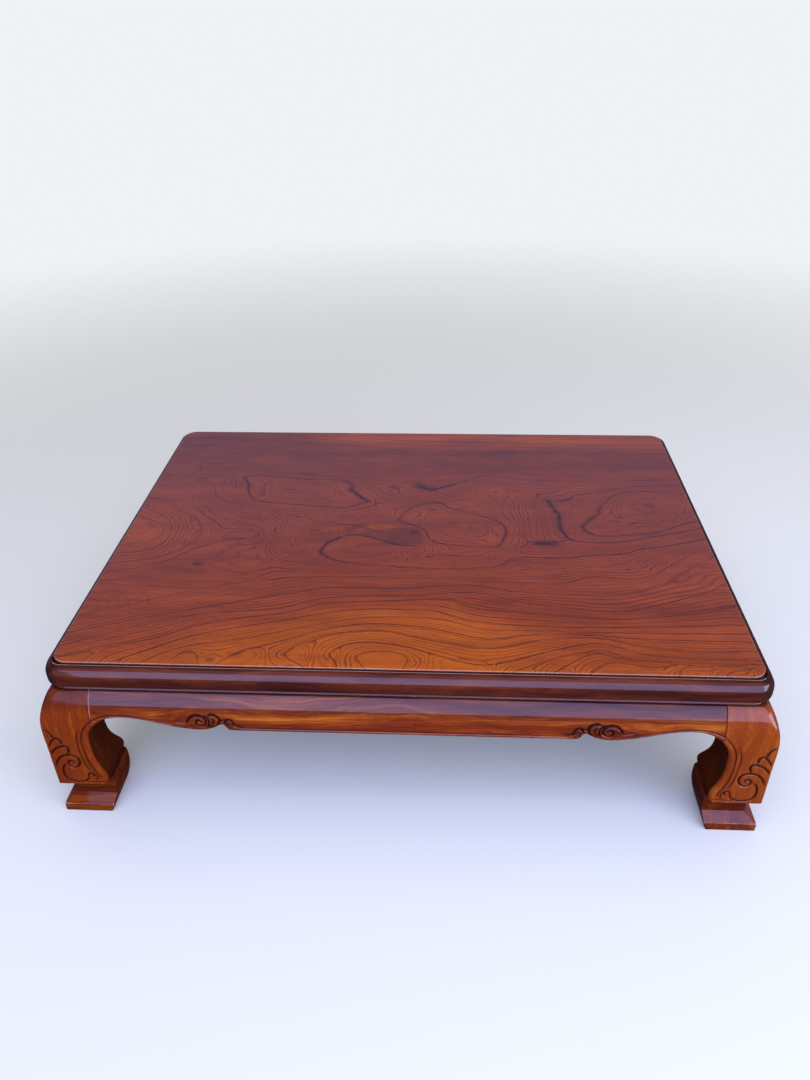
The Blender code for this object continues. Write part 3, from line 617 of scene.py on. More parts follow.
def edge_material():
    """Dark lacquered wood of the moulded edge."""
    material, tree, shader, _, lacquer, worn = lacquered_wood("dark_edge_lacquer", 0.05)
    fibre = use_group(FIBRE, Place=value_of(tree, "grain_place", "Vector"))
    base = colours(fibre["Streak"], [(0.32, (0.030, 0.004, 0.002)), (0.50, (0.078, 0.011, 0.003)),
                                     (0.68, (0.160, 0.028, 0.006))])
    # Painted shade in the groove, under the bulge and the lip, round the corners and over the upper half of
    # some rails
    base = mingle(value_of(tree, "recess") * 0.9, base, (0.006, 0.002, 0.002))
    base = mingle(worn * 0.7, base, (0.50, 0.36, 0.27))
    rough = lacquer["Dull"] * 0.14 + 0.40 + worn * 0.25
    normal = raised(fibre["Height"] * 0.2 + lacquer["Ripple"], 0.12, 0.0008)
    fill(shader, Base_Color=base, Roughness=rough, Normal=normal, Coat_Weight=value_of(tree, "shine"))
    return material


def veneer_material():
    """Figured veneer: fine growth lines, darker drawn lines, knots, and a ground from purple to orange."""
    material, tree, shader, spot, lacquer, worn = lacquered_wood("figured_veneer", 0.07)
    fibre = use_group(FIBRE, Place=stretched(spot, (0.6, 0.6, 0.6)))
    wavy, steep, line_dark = (value_of(tree, name) for name in ("wavy", "steep", "line_dark"))
    sway = cloud(spot, (16.0, 34.0, 1.0), 3.0, 0.55) - 0.5
    shiver = cloud(spot, (60.0, 95.0, 1.0), 2.0, 0.6) - 0.5
    # Fine growth lines, each with its own darkness, moved a few millimetres by the sway
    moved = (sway * 18.0 + shiver * 9.0) * wavy
    counted = value_of(tree, "phase") + moved * calc("MAXIMUM", steep, 0.07)
    # Where the growth is level, long shallow waves take their place
    level = span(steep, 0.03, 0.10, 1.0, 0.0)
    counted = counted + cloud(spot, (2.2, 26.0, 1.0), 0.0) * 5.0 * level
    part = calc("FRACT", counted)
    dice = put(tree, "ShaderNodeTexWhiteNoise", noise_dimensions="1D")
    fill(dice, W=calc("FLOOR", counted))
    fine = (1.0 - span(part, 0.06, 0.50)) * span(part, -0.04, 0.06)
    fine = fine * (wire(dice, "Value") * 0.65 + 0.35) * (0.85 - level * 0.50)
    fine = fine * span(wavy, 0.3, 1.0, 0.95, 1.0)
    # Drawn lines, roughened at their edges and stronger here and there, some with a dark halo
    away = calc("ABSOLUTE", value_of(tree, "line") + shiver * 2.6)
    strong = (1.0 - span(away, 0.25, 1.10)) * line_dark
    strong = calc("MULTIPLY", strong, span(cloud(spot, 11.0), 0.34, 0.60, 0.45, 1.05), clamp=True)
    halo = (1.0 - span(away, 0.8, 3.2)) * line_dark * span(shiver, -0.18, 0.22, 0.1, 0.75)
    halo = halo * span(line_dark, 0.70, 0.90)
    stain = calc("MULTIPLY", value_of(tree, "stain"), span(shiver, -0.30, 0.25, 0.60, 1.0), clamp=True)
    # Ground colour from purple red to orange
    base = colours(value_of(tree, "warm") + sway * 0.30,
                   [(0.0, (0.128, 0.021, 0.013)), (0.30, (0.246, 0.039, 0.013)),
                    (0.60, (0.308, 0.051, 0.009)), (1.0, (0.420, 0.081, 0.006))])
    patch = colours(cloud(spot, (9.0, 24.0, 1.0), 4.0, 0.55),
                    [(0.30, (0.90, 0.89, 0.88)), (0.70, (1.10, 1.12, 1.1))])
    base = mingle(1.0, base, patch, "MULTIPLY")
    streaks = colours(fibre["Streak"], [(0.34, (0.76, 0.74, 0.80)), (0.50, (1.0, 1.0, 1.0)),
                                        (0.66, (1.22, 1.28, 1.1))])
    base = mingle(span(wavy, 0.3, 1.0, 1.0, 0.55), base, mingle(1.0, base, streaks, "MULTIPLY"))
    for share, colour in ((fine, (0.046, 0.008, 0.008)), (halo, (0.085, 0.014, 0.011)),
                          (fibre["Pores"] * 0.30, (0.040, 0.008, 0.006)), (strong, (0.036, 0.008, 0.007)),
                          (stain * 0.88, (0.036, 0.011, 0.011)), (worn * 0.38, (0.50, 0.33, 0.24))):
        base = mingle(share, base, colour)
    rough = lacquer["Dull"] * 0.12 + 0.42 + lacquer["Specks"] * 0.2
    normal = raised(fibre["Height"] * 0.15 + lacquer["Ripple"], 0.05, 0.0006)
    fill(shader, Base_Color=base, Roughness=rough, Normal=normal)
    return material


def plain_wood(name, turn_axis=None):
    """Unfinished inner wood with its grain along X, or along another axis by a quarter turn."""
    material, tree, shader = new_material(name)
    spot = spot_of(tree)
    if turn_axis:
        turn = put(tree, "ShaderNodeVectorRotate", rotation_type=turn_axis)
        fill(turn, Vector=spot, Angle=pi / 2)
        spot = wire(turn)
    fibre = use_group(FIBRE, Place=spot)
    base = colours(fibre["Streak"], [(0.30, (0.300, 0.165, 0.070)), (0.52, (0.460, 0.290, 0.140)),
                                     (0.72, (0.580, 0.400, 0.220))])
    base = mingle(fibre["Pores"] * 0.4, base, (0.20, 0.10, 0.04))
    rough = span(fibre["Streak"], 0.3, 0.7, 0.78, 0.6)
    fill(shader, Base_Color=base, Roughness=rough, Normal=raised(fibre["Height"], 0.35, 0.0006))
    return material


def zinc_material():
    """Zinc-plated steel of the screws and bolts."""
    material, tree, shader = new_material("zinc_steel")
    spot = spot_of(tree)
    marks = cloud(spot, 1500.0, 1.0)
    base = colours(cloud(spot, 420.0, 2.0, 0.6), [(0.3, (0.40, 0.40, 0.38)), (0.7, (0.66, 0.66, 0.63))])
    fill(shader, Base_Color=base, Metallic=1.0, Roughness=span(marks, 0.3, 0.7, 0.28, 0.46),
         Normal=raised(marks, 0.2, 0.0002))
    return material


FRAME_WOOD = frame_material()
DARK_EDGE = edge_material()
VENEER = veneer_material()
INNER_X = plain_wood("inner_wood_lengthways")
INNER_Y = plain_wood("inner_wood_crossways", "Z_AXIS")
INNER_Z = plain_wood("inner_wood_upright", "Y_AXIS")
ZINC = zinc_material()


# Legs

def sole_ease(z):
    """How far a leg's lowest edge is rounded back."""
    up = np.clip(SOLE_ROUND - (z - LEG_BOTTOM), 0.0, SOLE_ROUND)
    return SOLE_ROUND - np.sqrt(SOLE_ROUND**2 - up * up)


def leg_shape():
    """Points, rings and values of one carved leg in its own corner."""
    low = LEG_BOTTOM + np.array([0.0, 0.0003, 0.0008])
    waist = np.arange(LEG_BOTTOM + SOLE_ROUND, APRON_LOW + 0.001, 0.00105)
    levels = np.concatenate((low, waist, shoulder_levels(APRON_LOW + 0.0015, 34)))
    near = shoulder_inset(levels) + sole_ease(levels)
    order = np.argsort(RISING[:, 1])
    far = np.minimum(np.interp(levels, RISING[order, 1], RISING[order, 0]), LEG_SIZE) - sole_ease(levels)
    far = np.where(levels > APRON_LOW - 0.0003, LEG_SIZE - JOINT_GAP / 2, far)
    round_off = CORNER_ROUND + SHOULDER_ROUND * eased(levels, *SHOULDER_TURN)
    columns = np.linspace(0.0, 1.0, 86)
    bend = np.linspace(0.0, pi / 2, 9)[1:-1]
    back = np.array([0.0, 0.015, 0.05, 0.12, 0.3, 0.55, 0.8, 0.97, 1.0])
    c = far[:, None] + (near + round_off - far)[:, None] * columns[None, :]
    z = np.repeat(levels[:, None], c.shape[1], 1)
    depth, recess, worn, joint = carved(c, z)
    depth = np.minimum(depth, (far - near)[:, None] * 0.4)
    middle = (near + round_off)[:, None]
    arc_x = middle - round_off[:, None] * np.sin(bend)[None, :]
    arc_y = middle - round_off[:, None] * np.cos(bend)[None, :]
    arc_c = np.maximum(arc_x, arc_y)
    arc_z = np.repeat(levels[:, None], len(bend), 1)
    arc_depth, arc_painted_shade = carved(arc_c, arc_z)[:2]
    arc_x = arc_x + arc_depth * np.sin(bend)
    arc_y = arc_y + arc_depth * np.cos(bend)
    arc_worn = (0.52 * np.sin(2 * bend) ** 2)[None, :] * (CORNER_ROUND / round_off[:, None]) ** 2
    front = np.stack((c, near[:, None] + depth, z), 2)
    corner = np.stack((arc_x, arc_y, arc_z), 2)
    side = front[:, ::-1][:, :, [1, 0, 2]]
    cut = np.where(levels > BRACE_LEVEL, np.maximum(2 * far - BRACE_FLAT, INNER_EASE), INNER_EASE)
    start = near + depth[:, 0]
    a_x = start[:, None] + (far - cut - start)[:, None] * back[1:][None, :]
    inner_a = np.stack((a_x, *(np.repeat(part[:, None], a_x.shape[1], 1) for part in (far, levels))), 2)
    inner_b = inner_a[:, ::-1][:, :, [1, 0, 2]]
    rings = np.concatenate((front, corner, side, inner_a, inner_b), 1)
    blank = np.zeros(a_x.shape)
    # Painted shade over the inner faces
    dark = np.full(blank.shape, 0.87)
    recess = np.concatenate((recess, arc_painted_shade, recess[:, ::-1], dark, dark), 1)
    worn = np.concatenate((worn, arc_worn, worn[:, ::-1], blank, blank), 1)
    joint = np.concatenate((joint, np.zeros(arc_c.shape), joint[:, ::-1], blank, blank), 1)
    return rings, recess, worn, joint


LEG_RINGS, LEG_PAINTED_SHADE, LEG_WORN, LEG_JOINT = leg_shape()

# For each leg: how light its wood is, how much painted shade darkens its shoulder, how open its joints and
# how bright its lacquer
LEG_TINTS = (0.22, 0.68, 0.5, 0.4)
LEG_SHADES = (0.62, 0.10, 0.4, 0.5)
LEG_OPEN = (1.0, 0.0, 0.3, 0.7)
LEG_SHINE = (0.40, 1.0, 0.8, 0.8)


def add_leg(index):
    x, y, z = LEG_RINGS.reshape(-1, 3).T
    grain = np.stack((z + 3.1 * index, 0.8 * (y - x) + 0.7 * index, 0.8 * (x + y) + 0.4 * index), 1)
    recess, worn = with_joint(LEG_PAINTED_SHADE, LEG_WORN, LEG_JOINT, LEG_OPEN[index])
    # Painted shade darkens the top of the shoulder, more on some legs
    values = {"grain_place": grain, "recess": recess.ravel(), "worn": worn.ravel(), "tint": LEG_TINTS[index],
              "shade": LEG_SHADES[index] * eased(z, 0.238, 0.262), "calm": 0.62, "shine": LEG_SHINE[index]}
    name = CORNERS[index]
    add_rings("carved_leg_" + name, LEG_RINGS, corner_place(index), "leg_" + name, "frame_wood",
              FRAME_WOOD, values, 50)


# Aprons

def apron_columns(half):
    """Places along one apron: close together over the scrolls and the arch."""
    first = LEG_SIZE + JOINT_GAP / 2
    stops = [(first, 0.150, 40), (0.150, 0.226, 20), (0.226, 0.252, 16), (0.252, 0.350, 116),
             (0.350, half, 18)]
    left = np.concatenate([np.linspace(low, high, count, endpoint=False) for low, high, count in stops])
    return np.concatenate((left, [half], (2 * half - left)[::-1]))


def add_apron(index):
    half = HALF_X if index % 2 == 0 else HALF_Y
    along = apron_columns(half)
    c = np.minimum(along, 2 * half - along)
    low = np.interp(c, LOWER[:, 0], LOWER[:, 1])
    fine = np.concatenate(([0.0, 0.00015, 0.0004], np.arange(0.0008, 0.0345, 0.0009)))
    z = np.array([np.concatenate((level + fine, shoulder_levels(level + fine[-1], 16)[1:])) for level in low])
    depth, recess, worn, joint = carved(np.repeat(c[:, None], z.shape[1], 1), z)
    recess, worn = with_joint(recess, worn, joint, np.where(along < half, 1.0, 0.0)[:, None])
    x = (along - half)[:, None]
    front = np.stack((np.repeat(x, z.shape[1], 1), shoulder_inset(z) + depth, z), 2)
    back = np.stack((np.repeat(x, 5, 1), np.full((len(along), 5), APRON_BACK),
                     FRAME_TOP + (low - FRAME_TOP)[:, None] * np.linspace(0.0, 1.0, 5)), 2)
    start = front[:, :1, 1]
    under = np.stack((np.repeat(x, 2, 1), start + (APRON_BACK - start) * np.array([0.66, 0.33]),
                      np.repeat(low[:, None], 2, 1)), 2)
    rings = np.concatenate((front, back, under), 1)
    plain = np.zeros((len(along), back.shape[1] + under.shape[1]))
    x, y, z = rings.reshape(-1, 3).T
    grain = np.stack((x + 2.3 * index + 0.5, z + 0.31 * index, y + 0.9 * index), 1)
    # Painted shade darkens the top of the shoulder, and the tint is partly painted light standing in for
    # light thrown up from the floor
    values = {"grain_place": grain, "recess": np.hstack((recess, plain)).ravel(),
              "worn": np.hstack((worn, plain)).ravel(), "tint": 0.4, "shade": 0.78 * eased(z, 0.238, 0.260),
              "calm": 0.12, "shine": 1.0}
    name = SIDES[index]
    add_rings("carved_apron_" + name, rings, side_place(index, HALF_X, HALF_Y), "apron_" + name, "frame_wood",
              FRAME_WOOD, values, 50)


# Feet

PLINTH_TOP = 0.0177
NECK_IN = 0.0186
FOOT_ROUND = 0.0022
FOOT_EASE = 0.0012
BELLY_LEVELS = (0.0, 0.005, 0.010, 0.020, 0.033, 0.042, 0.051, 0.060, 0.066, FOOT_TOP)
BELLY_REACH = (0.0868, 0.0886, 0.0902, 0.0928, 0.0951, 0.0957, 0.0958, 0.0955, 0.0951, 0.0942)


def add_foot(index):
    """Plinth, slope and neck on the two outer faces, a slight belly on the two inner ones."""
    plinth = mm([(0, 0), (0, 0.6), (0, 1.2), (0, 6.5), (0, 16.8), (0.4, 17.6)])
    slope = smooth_curve(mm([(1.1, 18.2), (5, 20.7), (10, 24.1), (15, 27.7), (17.8, 29.8), (18.5, 30.8),
                             (18.6, 32.2)]), 3)
    neck = np.stack((np.full(8, NECK_IN), np.linspace(0.034, FOOT_TOP, 8)), 1)
    inset, levels = np.vstack((plinth, slope, neck)).T
    ease = np.clip(FOOT_EASE - levels, 0.0, FOOT_EASE)
    inset = np.maximum(inset, 0.0) + ease
    reach = np.interp(levels, BELLY_LEVELS, BELLY_REACH) - ease
    corners = ((0, 0, pi), (1, 0, 1.5 * pi), (1, 1, 0.0), (0, 1, 0.5 * pi))
    bend = np.linspace(0.0, pi / 2, 6)
    rings, worn = [], []
    rub = np.exp(-((levels - PLINTH_TOP) / 0.0009) ** 2)
    for near, far, level, wear in zip(inset, reach, levels, rub):
        ring, ring_worn = [], []
        for on_x, on_y, start in corners:
            middle_x = far - FOOT_ROUND if on_x else near + FOOT_ROUND
            middle_y = far - FOOT_ROUND if on_y else near + FOOT_ROUND
            arris = 0.0 if on_x and on_y else 0.4
            for angle in start + bend:
                ring.append((middle_x + FOOT_ROUND * cos(angle), middle_y + FOOT_ROUND * sin(angle), level))
                ring_worn.append(0.70 * wear + arris * sin(2 * (angle - start)))
        rings.append(ring)
        worn.append(ring_worn)
    rings = np.array(rings)
    x, y, z = rings.reshape(-1, 3).T
    grain = np.stack((x + 1.7 * index, z * 1.2 + 0.4 * index, y + 0.2 * index), 1)
    # Painted shade on the neck under the leg, and over the whole foot
    values = {"grain_place": grain, "recess": 0.45 * eased(z, 0.0299, 0.0316), "worn": np.array(worn).ravel(),
              "tint": 0.3, "shade": 0.5, "calm": 0.5, "shine": LEG_SHINE[index]}
    name = CORNERS[index]
    add_rings("moulded_foot_" + name, rings, corner_place(index), "foot_" + name, "frame_wood",
              FRAME_WOOD, values, 40)


# Moulded edge of the top

def edge_section():
    """Profile of the edge rail as (inset, height), with how worn each point is and how much painted shade it
    has.
    """
    # Painted shade fills the groove beside the veneer, the underside of the bulge and the lip
    groove = [(0.028, 0.3307, 0, 0), (0.0190, 0.3307, 0, 1), (0.0177, 0.3305, 0, 1), (0.0169, 0.3292, 0, 1),
              (0.0162, 0.3281, 0, 1), (0.0156, 0.3278, 0, 1), (0.0151, 0.3281, 0.1, 0.7),
              (0.0147, 0.3285, 0.8, 0.1), (0.0143, 0.3287, 1.0, 0), (0.0138, 0.3286, 0.8, 0)]
    bull = smooth_curve(mm([(13.2, 328.3), (11.6, 327.6), (9.4, 326.5), (7.8, 325.4), (6.6, 324.2),
                            (5.7, 323), (4.9, 321.6), (4, 319.8), (3, 317.7), (2, 315.5), (1.1, 313.3),
                            (0.55, 311.4), (0.2, 308.5), (0.05, 304.5), (0, 300.5), (0, 297.4),
                            (0.05, 295.4), (0.35, 293), (1.6, 290.6), (4, 288.6), (8, 287), (12, 286.1),
                            (15.6, 285.6)]), 4)
    # Painted shade under the bulge, deeper the further in it tucks
    bull = [(max(inset, 0.0), height, 0.0, min(1.0, max(0.0, inset * 70 - 0.1)) if height < 0.295 else 0.0)
            for inset, height in bull]
    lip = [(0.0156, 0.2850, 0, 1), (0.0150, 0.2846, 0, 1), (0.0118, 0.2845, 0, 0.5),
           (0.0109, 0.2842, 0.2, 0), (0.0104, 0.2837, 0.4, 0), (0.0096, 0.2823, 0.4, 0),
           (0.0088, 0.2809, 0.4, 0), (0.0084, 0.2801, 0.2, 0), (0.0084, 0.2798, 0, 0.5),
           (0.0090, EDGE_BOTTOM, 0, 1), (0.028, EDGE_BOTTOM, 0, 1)]
    return np.array(groove + bull + lip)


EDGE_SECTION = edge_section()
EDGE_ROUND = 0.034
EDGE_TURNS = 15

# For each rail: how worn its rim is, how much painted shade darkens its upper half and how bright the ledge
# inside its shoulder
EDGE_RUB = (1.0, 0.3, 0.5, 0.5)
EDGE_UPPER_SHADE = (0.0, 0.5, 0.2, 0.2)
EDGE_SHINE = (0.22, 0.22, 0.5, 0.6)


def add_edge(index):
    """One rail with mitred ends at the middle of the rounded corners."""
    half = TOP_X if index % 2 == 0 else TOP_Y
    straight = half - EDGE_ROUND
    last = pi / 4 - 0.0025
    turns = np.linspace(last, 0.0, EDGE_TURNS)
    inset, height = EDGE_SECTION[:, 0], EDGE_SECTION[:, 1]
    rings = []
    for turn in turns:
        reach = EDGE_ROUND - inset
        rings.append(np.stack((-straight - reach * sin(turn), EDGE_ROUND - reach * cos(turn), height), 1))
    for x in np.linspace(-straight, straight, 25)[1:-1]:
        rings.append(np.stack((np.full(len(inset), x), inset, height), 1))
    rings += [ring * np.array([-1.0, 1.0, 1.0]) for ring in rings[:EDGE_TURNS]][::-1]
    rings = np.array(rings)
    bend = np.zeros(len(rings))
    bend[:EDGE_TURNS] = eased(turns, 0.0, 0.6)
    bend[-EDGE_TURNS:] = bend[:EDGE_TURNS][::-1]
    x, y, z = rings.reshape(-1, 3).T
    worn = EDGE_RUB[index] * (EDGE_SECTION[:, 2] + 0.22 * np.outer(bend, EDGE_SECTION[:, 2] > 0.05)).ravel()
    ledge = (height > 0.3230) & (inset < 0.0150)
    # Painted shade: the section's own, over the upper half of some rails, and round the corners
    recess = np.maximum(EDGE_SECTION[:, 3], np.where(height > 0.300, EDGE_UPPER_SHADE[index], 0.0))
    recess = np.maximum(recess, 0.55 * bend[:, None]).ravel()
    # The flat ledge inside the shoulder has lost most of its shine
    shine = np.tile(np.where(ledge, EDGE_SHINE[index], 1.0), len(rings))
    shine = np.where(recess > 0.65, 0.1, shine)
    grain = np.stack((x + 1.9 * index, y + 0.2 * index, z + 0.5 * index), 1)
    values = {"grain_place": grain, "recess": recess, "worn": worn, "shine": shine}
    name = SIDES[index]
    add_rings("moulded_edge_" + name, rings, side_place(index, TOP_X, TOP_Y), "edge_" + name, "edge_wood",
              DARK_EDGE, values, 45)


# Figure of the top as lines of equal growth: level, half width in mm (0 isn't drawn), darkness, points in mm
FIGURE = [
    # Line round the raised middle ground
    (0, 1.8, 0.52, [(-600, 214), (-560, 210), (-490, 196), (-478, 184), (-458, 168), (-450, 144), (-442, 120),
     (-426, 104), (-402, 88), (-370, 78), (-330, 62), (-266, 42), (-202, 20), (-138, 5), (-110, 8), (-86, 16),
     (-50, 21)]),
    (0, 2.0, 0.69, [(-400, 236), (-300, 226), (-180, 208), (-90, 196), (-18, 188), (6, 180), (18, 164),
     (34, 152), (50, 160), (70, 172), (98, 188), (122, 204), (146, 220), (166, 221), (198, 214), (238, 207),
     (322, 200), (430, 203), (600, 212)]),
    # Long oval in front of the knot, its lower line running on to the right
    (0, 2.1, 0.80, [(10, -72), (-18, -72), (-62, -54), (-102, -36), (-130, -38), (-150, -46), (-166, -60),
     (-172, -72), (-179, -98), (-162, -118), (-126, -134), (-70, -142), (10, -149), (90, -150), (130, -146),
     (166, -140), (186, -126), (202, -112), (222, -107), (302, -108), (350, -98), (422, -88), (450, -74),
     (494, -64), (570, -38), (600, -26)]),
    (0.75, 0, 0, [(20, -112), (80, -107), (140, -106)]),
    (-0.6, 0, 0, [(-260, -22), (-200, -22), (-150, -16)]),
    (-0.5, 0, 0, [(-24, -36), (4, -36)]),
    (-0.4, 0, 0, [(-84, -4), (-62, -4)]),
    # Three islands
    (1, 2.2, 0.86, [(-400, 204), (-386, 210), (-362, 212), (-318, 209), (-250, 197), (-198, 196),
     (-170, 193), (-154, 184), (-144, 168), (-148, 152), (-134, 132), (-122, 116), (-104, 102), (-118, 92),
     (-142, 74), (-166, 73), (-202, 77), (-258, 84), (-314, 90), (-354, 104), (-374, 140), (-378, 164),
     (-386, 184), (-400, 204)]),
    (1.8, 0, 0, [(-310, 152), (-250, 144), (-200, 138)]),
    (1, 2.2, 0.80, [(-34, 24), (-22, 48), (-6, 76), (18, 92), (38, 102), (56, 96), (78, 76), (126, 54),
     (174, 28), (188, 12), (192, -8), (190, -28), (178, -64), (162, -72), (118, -71), (78, -66), (50, -60),
     (34, -44), (28, -20), (12, 0), (-14, 12), (-34, 24)]),
    (1.9, 0, 0, [(50, 26), (90, 14), (130, -6)]),
    (1, 2.0, 0.80, [(600, 190), (560, 187), (502, 180), (470, 176), (406, 154), (350, 136), (334, 118),
     (310, 112), (286, 112), (298, 76), (306, 48), (304, 20), (306, -8), (310, -28), (318, -40), (350, -50),
     (402, -50), (450, -38), (490, -26), (550, -6), (600, 12)]),
    (2, 2.2, 0.78, [(600, 150), (540, 156), (490, 158), (450, 148), (430, 136), (406, 100), (394, 76),
     (386, 56), (370, 36), (356, 20), (350, 4), (358, -12), (378, -24), (410, -26), (450, -20), (490, -12),
     (530, 8), (558, 24), (600, 42)]),
    (3, 1.6, 0.57, [(535, 98), (526, 120), (504, 130), (480, 121), (471, 98), (480, 76), (504, 66), (526, 76),
     (535, 98)]),
    (4, 1.6, 0.57, [(514, 98), (504, 107), (494, 98), (504, 89), (514, 98)]),
    (1.4, 0, 0, [(168, 150), (176, 152), (184, 150)]),
    (0.1, 0, 0, [(246, 104), (250, 40), (248, -34)]),
    (-0.4, 0, 0, [(12, 146), (8, 128), (10, 112)]),
    (0.4, 0, 0, [(-240, 10), (-246, -40), (-240, -90)]),
    # Rings round the left end and the spear that points in from them
    (-1, 2.0, 0.69, [(-470, 60), (-440, 28), (-410, 0), (-392, -16), (-338, -20), (-318, -30), (-314, -40),
     (-320, -50), (-378, -60), (-418, -84), (-442, -98), (-480, -140), (-540, -168), (-600, -180)]),
    (-2, 1.8, 0.63, [(-600, 112), (-538, 88), (-518, 64), (-490, 44), (-466, 24), (-450, 0), (-438, -28),
     (-440, -58), (-456, -92), (-490, -122), (-546, -142), (-600, -148)]),
    (-3, 1.8, 0.63, [(-600, 70), (-586, 64), (-550, 40), (-526, 22), (-510, 0), (-502, -24), (-500, -56),
     (-512, -86), (-546, -108), (-600, -116)]),
    (-4, 1.8, 0.57, [(-600, 24), (-586, 20), (-558, 12), (-534, -6), (-518, -28), (-522, -56), (-546, -76),
     (-600, -84)]),
    (-4.7, 0, 0, [(-600, -30), (-575, -34)]),
    (-1, 1.6, 0.57, [(-426, -148), (-414, -138), (-400, -148), (-414, -158), (-426, -148)]),
    (-2, 0, 0, [(-418, -148), (-410, -148)]),
    # Far side
    (-1, 1.5, 0.24, [(-514, 214), (-534, 232), (-546, 252), (-546, 272), (-510, 290), (-470, 292),
     (-430, 288), (-370, 268), (-300, 256), (-200, 240), (-100, 230), (0, 224), (150, 242), (300, 234),
     (600, 240)]),
    (-2, 1.5, 0.29, [(-600, 330), (-400, 318), (-200, 290), (0, 268), (300, 264), (600, 266)]),
    (-3, 1.5, 0.29, [(-600, 372), (-400, 352), (-200, 330), (0, 308), (300, 302), (600, 300)]),
    (-4, 1.5, 0.29, [(-600, 408), (-300, 388), (-100, 364), (100, 346), (600, 340)]),
    (-5, 1.5, 0.29, [(-600, 440), (-300, 424), (0, 398), (300, 388), (600, 384)]),
    (-6, 1.5, 0.29, [(-220, 450), (0, 434), (300, 424), (600, 420)]),
    # Front: the growth falls away to a long pointed oval
    (-1, 1.6, 0.63, [(-600, -318), (-480, -268), (-380, -226), (-250, -192), (-100, -182), (40, -184),
     (130, -190), (250, -194), (298, -190), (346, -170), (410, -176), (442, -172), (466, -160), (522, -108),
     (578, -68), (600, -54)]),
    (-2, 1.6, 0.76, [(-600, -366), (-480, -322), (-400, -294), (-330, -272), (-270, -252), (-190, -228),
     (-150, -218), (-30, -216), (10, -214), (70, -205), (122, -203), (190, -218), (270, -224), (382, -222),
     (462, -196), (498, -168), (578, -104), (600, -88)]),
    (-3, 1.6, 0.76, [(-600, -404), (-530, -370), (-458, -338), (-370, -304), (-250, -288), (-210, -276),
     (-178, -260), (-110, -244), (10, -238), (90, -226), (142, -230), (206, -252), (302, -270), (350, -276),
     (394, -274), (438, -260), (542, -216), (582, -188), (600, -178)]),
    (-4, 1.6, 0.76, [(-600, -436), (-520, -404), (-430, -372), (-370, -338), (-290, -313), (-210, -294),
     (-150, -267), (-50, -257), (60, -248), (94, -254), (114, -268), (150, -276), (238, -286), (342, -296),
     (394, -296), (510, -276), (582, -256), (600, -250)]),
    (-5, 1.6, 0.76, [(-490, -440), (-440, -408), (-370, -366), (-300, -342), (-230, -322), (-150, -296),
     (-80, -282), (2, -280), (50, -284), (122, -312), (210, -320), (310, -322), (450, -316), (600, -306)]),
    (-6, 1.6, 0.76, [(-440, -440), (-410, -414), (-362, -390), (-266, -366), (-170, -332), (-130, -320),
     (-70, -306), (-10, -302), (62, -306), (138, -332), (210, -333), (320, -334), (450, -334),
     (600, -330)]),
    (-7, 1.6, 0.76, [(-310, -440), (-298, -424), (-270, -400), (-250, -392), (-200, -370), (-150, -344),
     (-100, -328), (-40, -322), (42, -332), (126, -356), (162, -357), (214, -345), (320, -342), (420, -350),
     (600, -352)]),
    (-8, 1.6, 0.76, [(-162, -440), (-192, -418), (-198, -404), (-170, -376), (-138, -356), (-70, -342),
     (-30, -343), (14, -354), (70, -368), (122, -379), (162, -380), (238, -357), (330, -350), (410, -371),
     (490, -380), (600, -376)]),
    (-9, 1.6, 0.76, [(-108, -440), (-112, -424), (-124, -404), (-98, -380), (-70, -374), (-30, -376),
     (6, -384), (50, -400), (86, -414), (122, -424), (162, -420), (200, -406), (254, -384), (330, -364),
     (410, -391), (500, -397), (600, -398)]),
    (-10, 1.6, 0.69, [(-60, -440), (-78, -414), (-64, -400), (-30, -396), (0, -403), (8, -418), (2, -440)]),
    (-10, 1.6, 0.69, [(182, -440), (262, -400), (302, -388), (336, -380), (370, -398), (410, -406),
     (600, -409)]),
    (-11, 1.6, 0.69, [(246, -440), (302, -398), (330, -390), (360, -402), (440, -408)]),
    (-12, 1.6, 0.63, [(306, -440), (342, -414), (370, -414), (410, -422), (462, -412), (510, -410)]),
    (-11, 1.6, 0.63, [(450, -440), (456, -426), (480, -418), (560, -414)]),
    (-12, 1.6, 0.63, [(526, -440), (536, -428), (570, -420)]),
    (-7, 1.6, 0.63, [(-394, -440), (-380, -414), (-366, -405), (-350, -412), (-338, -440)]),
]

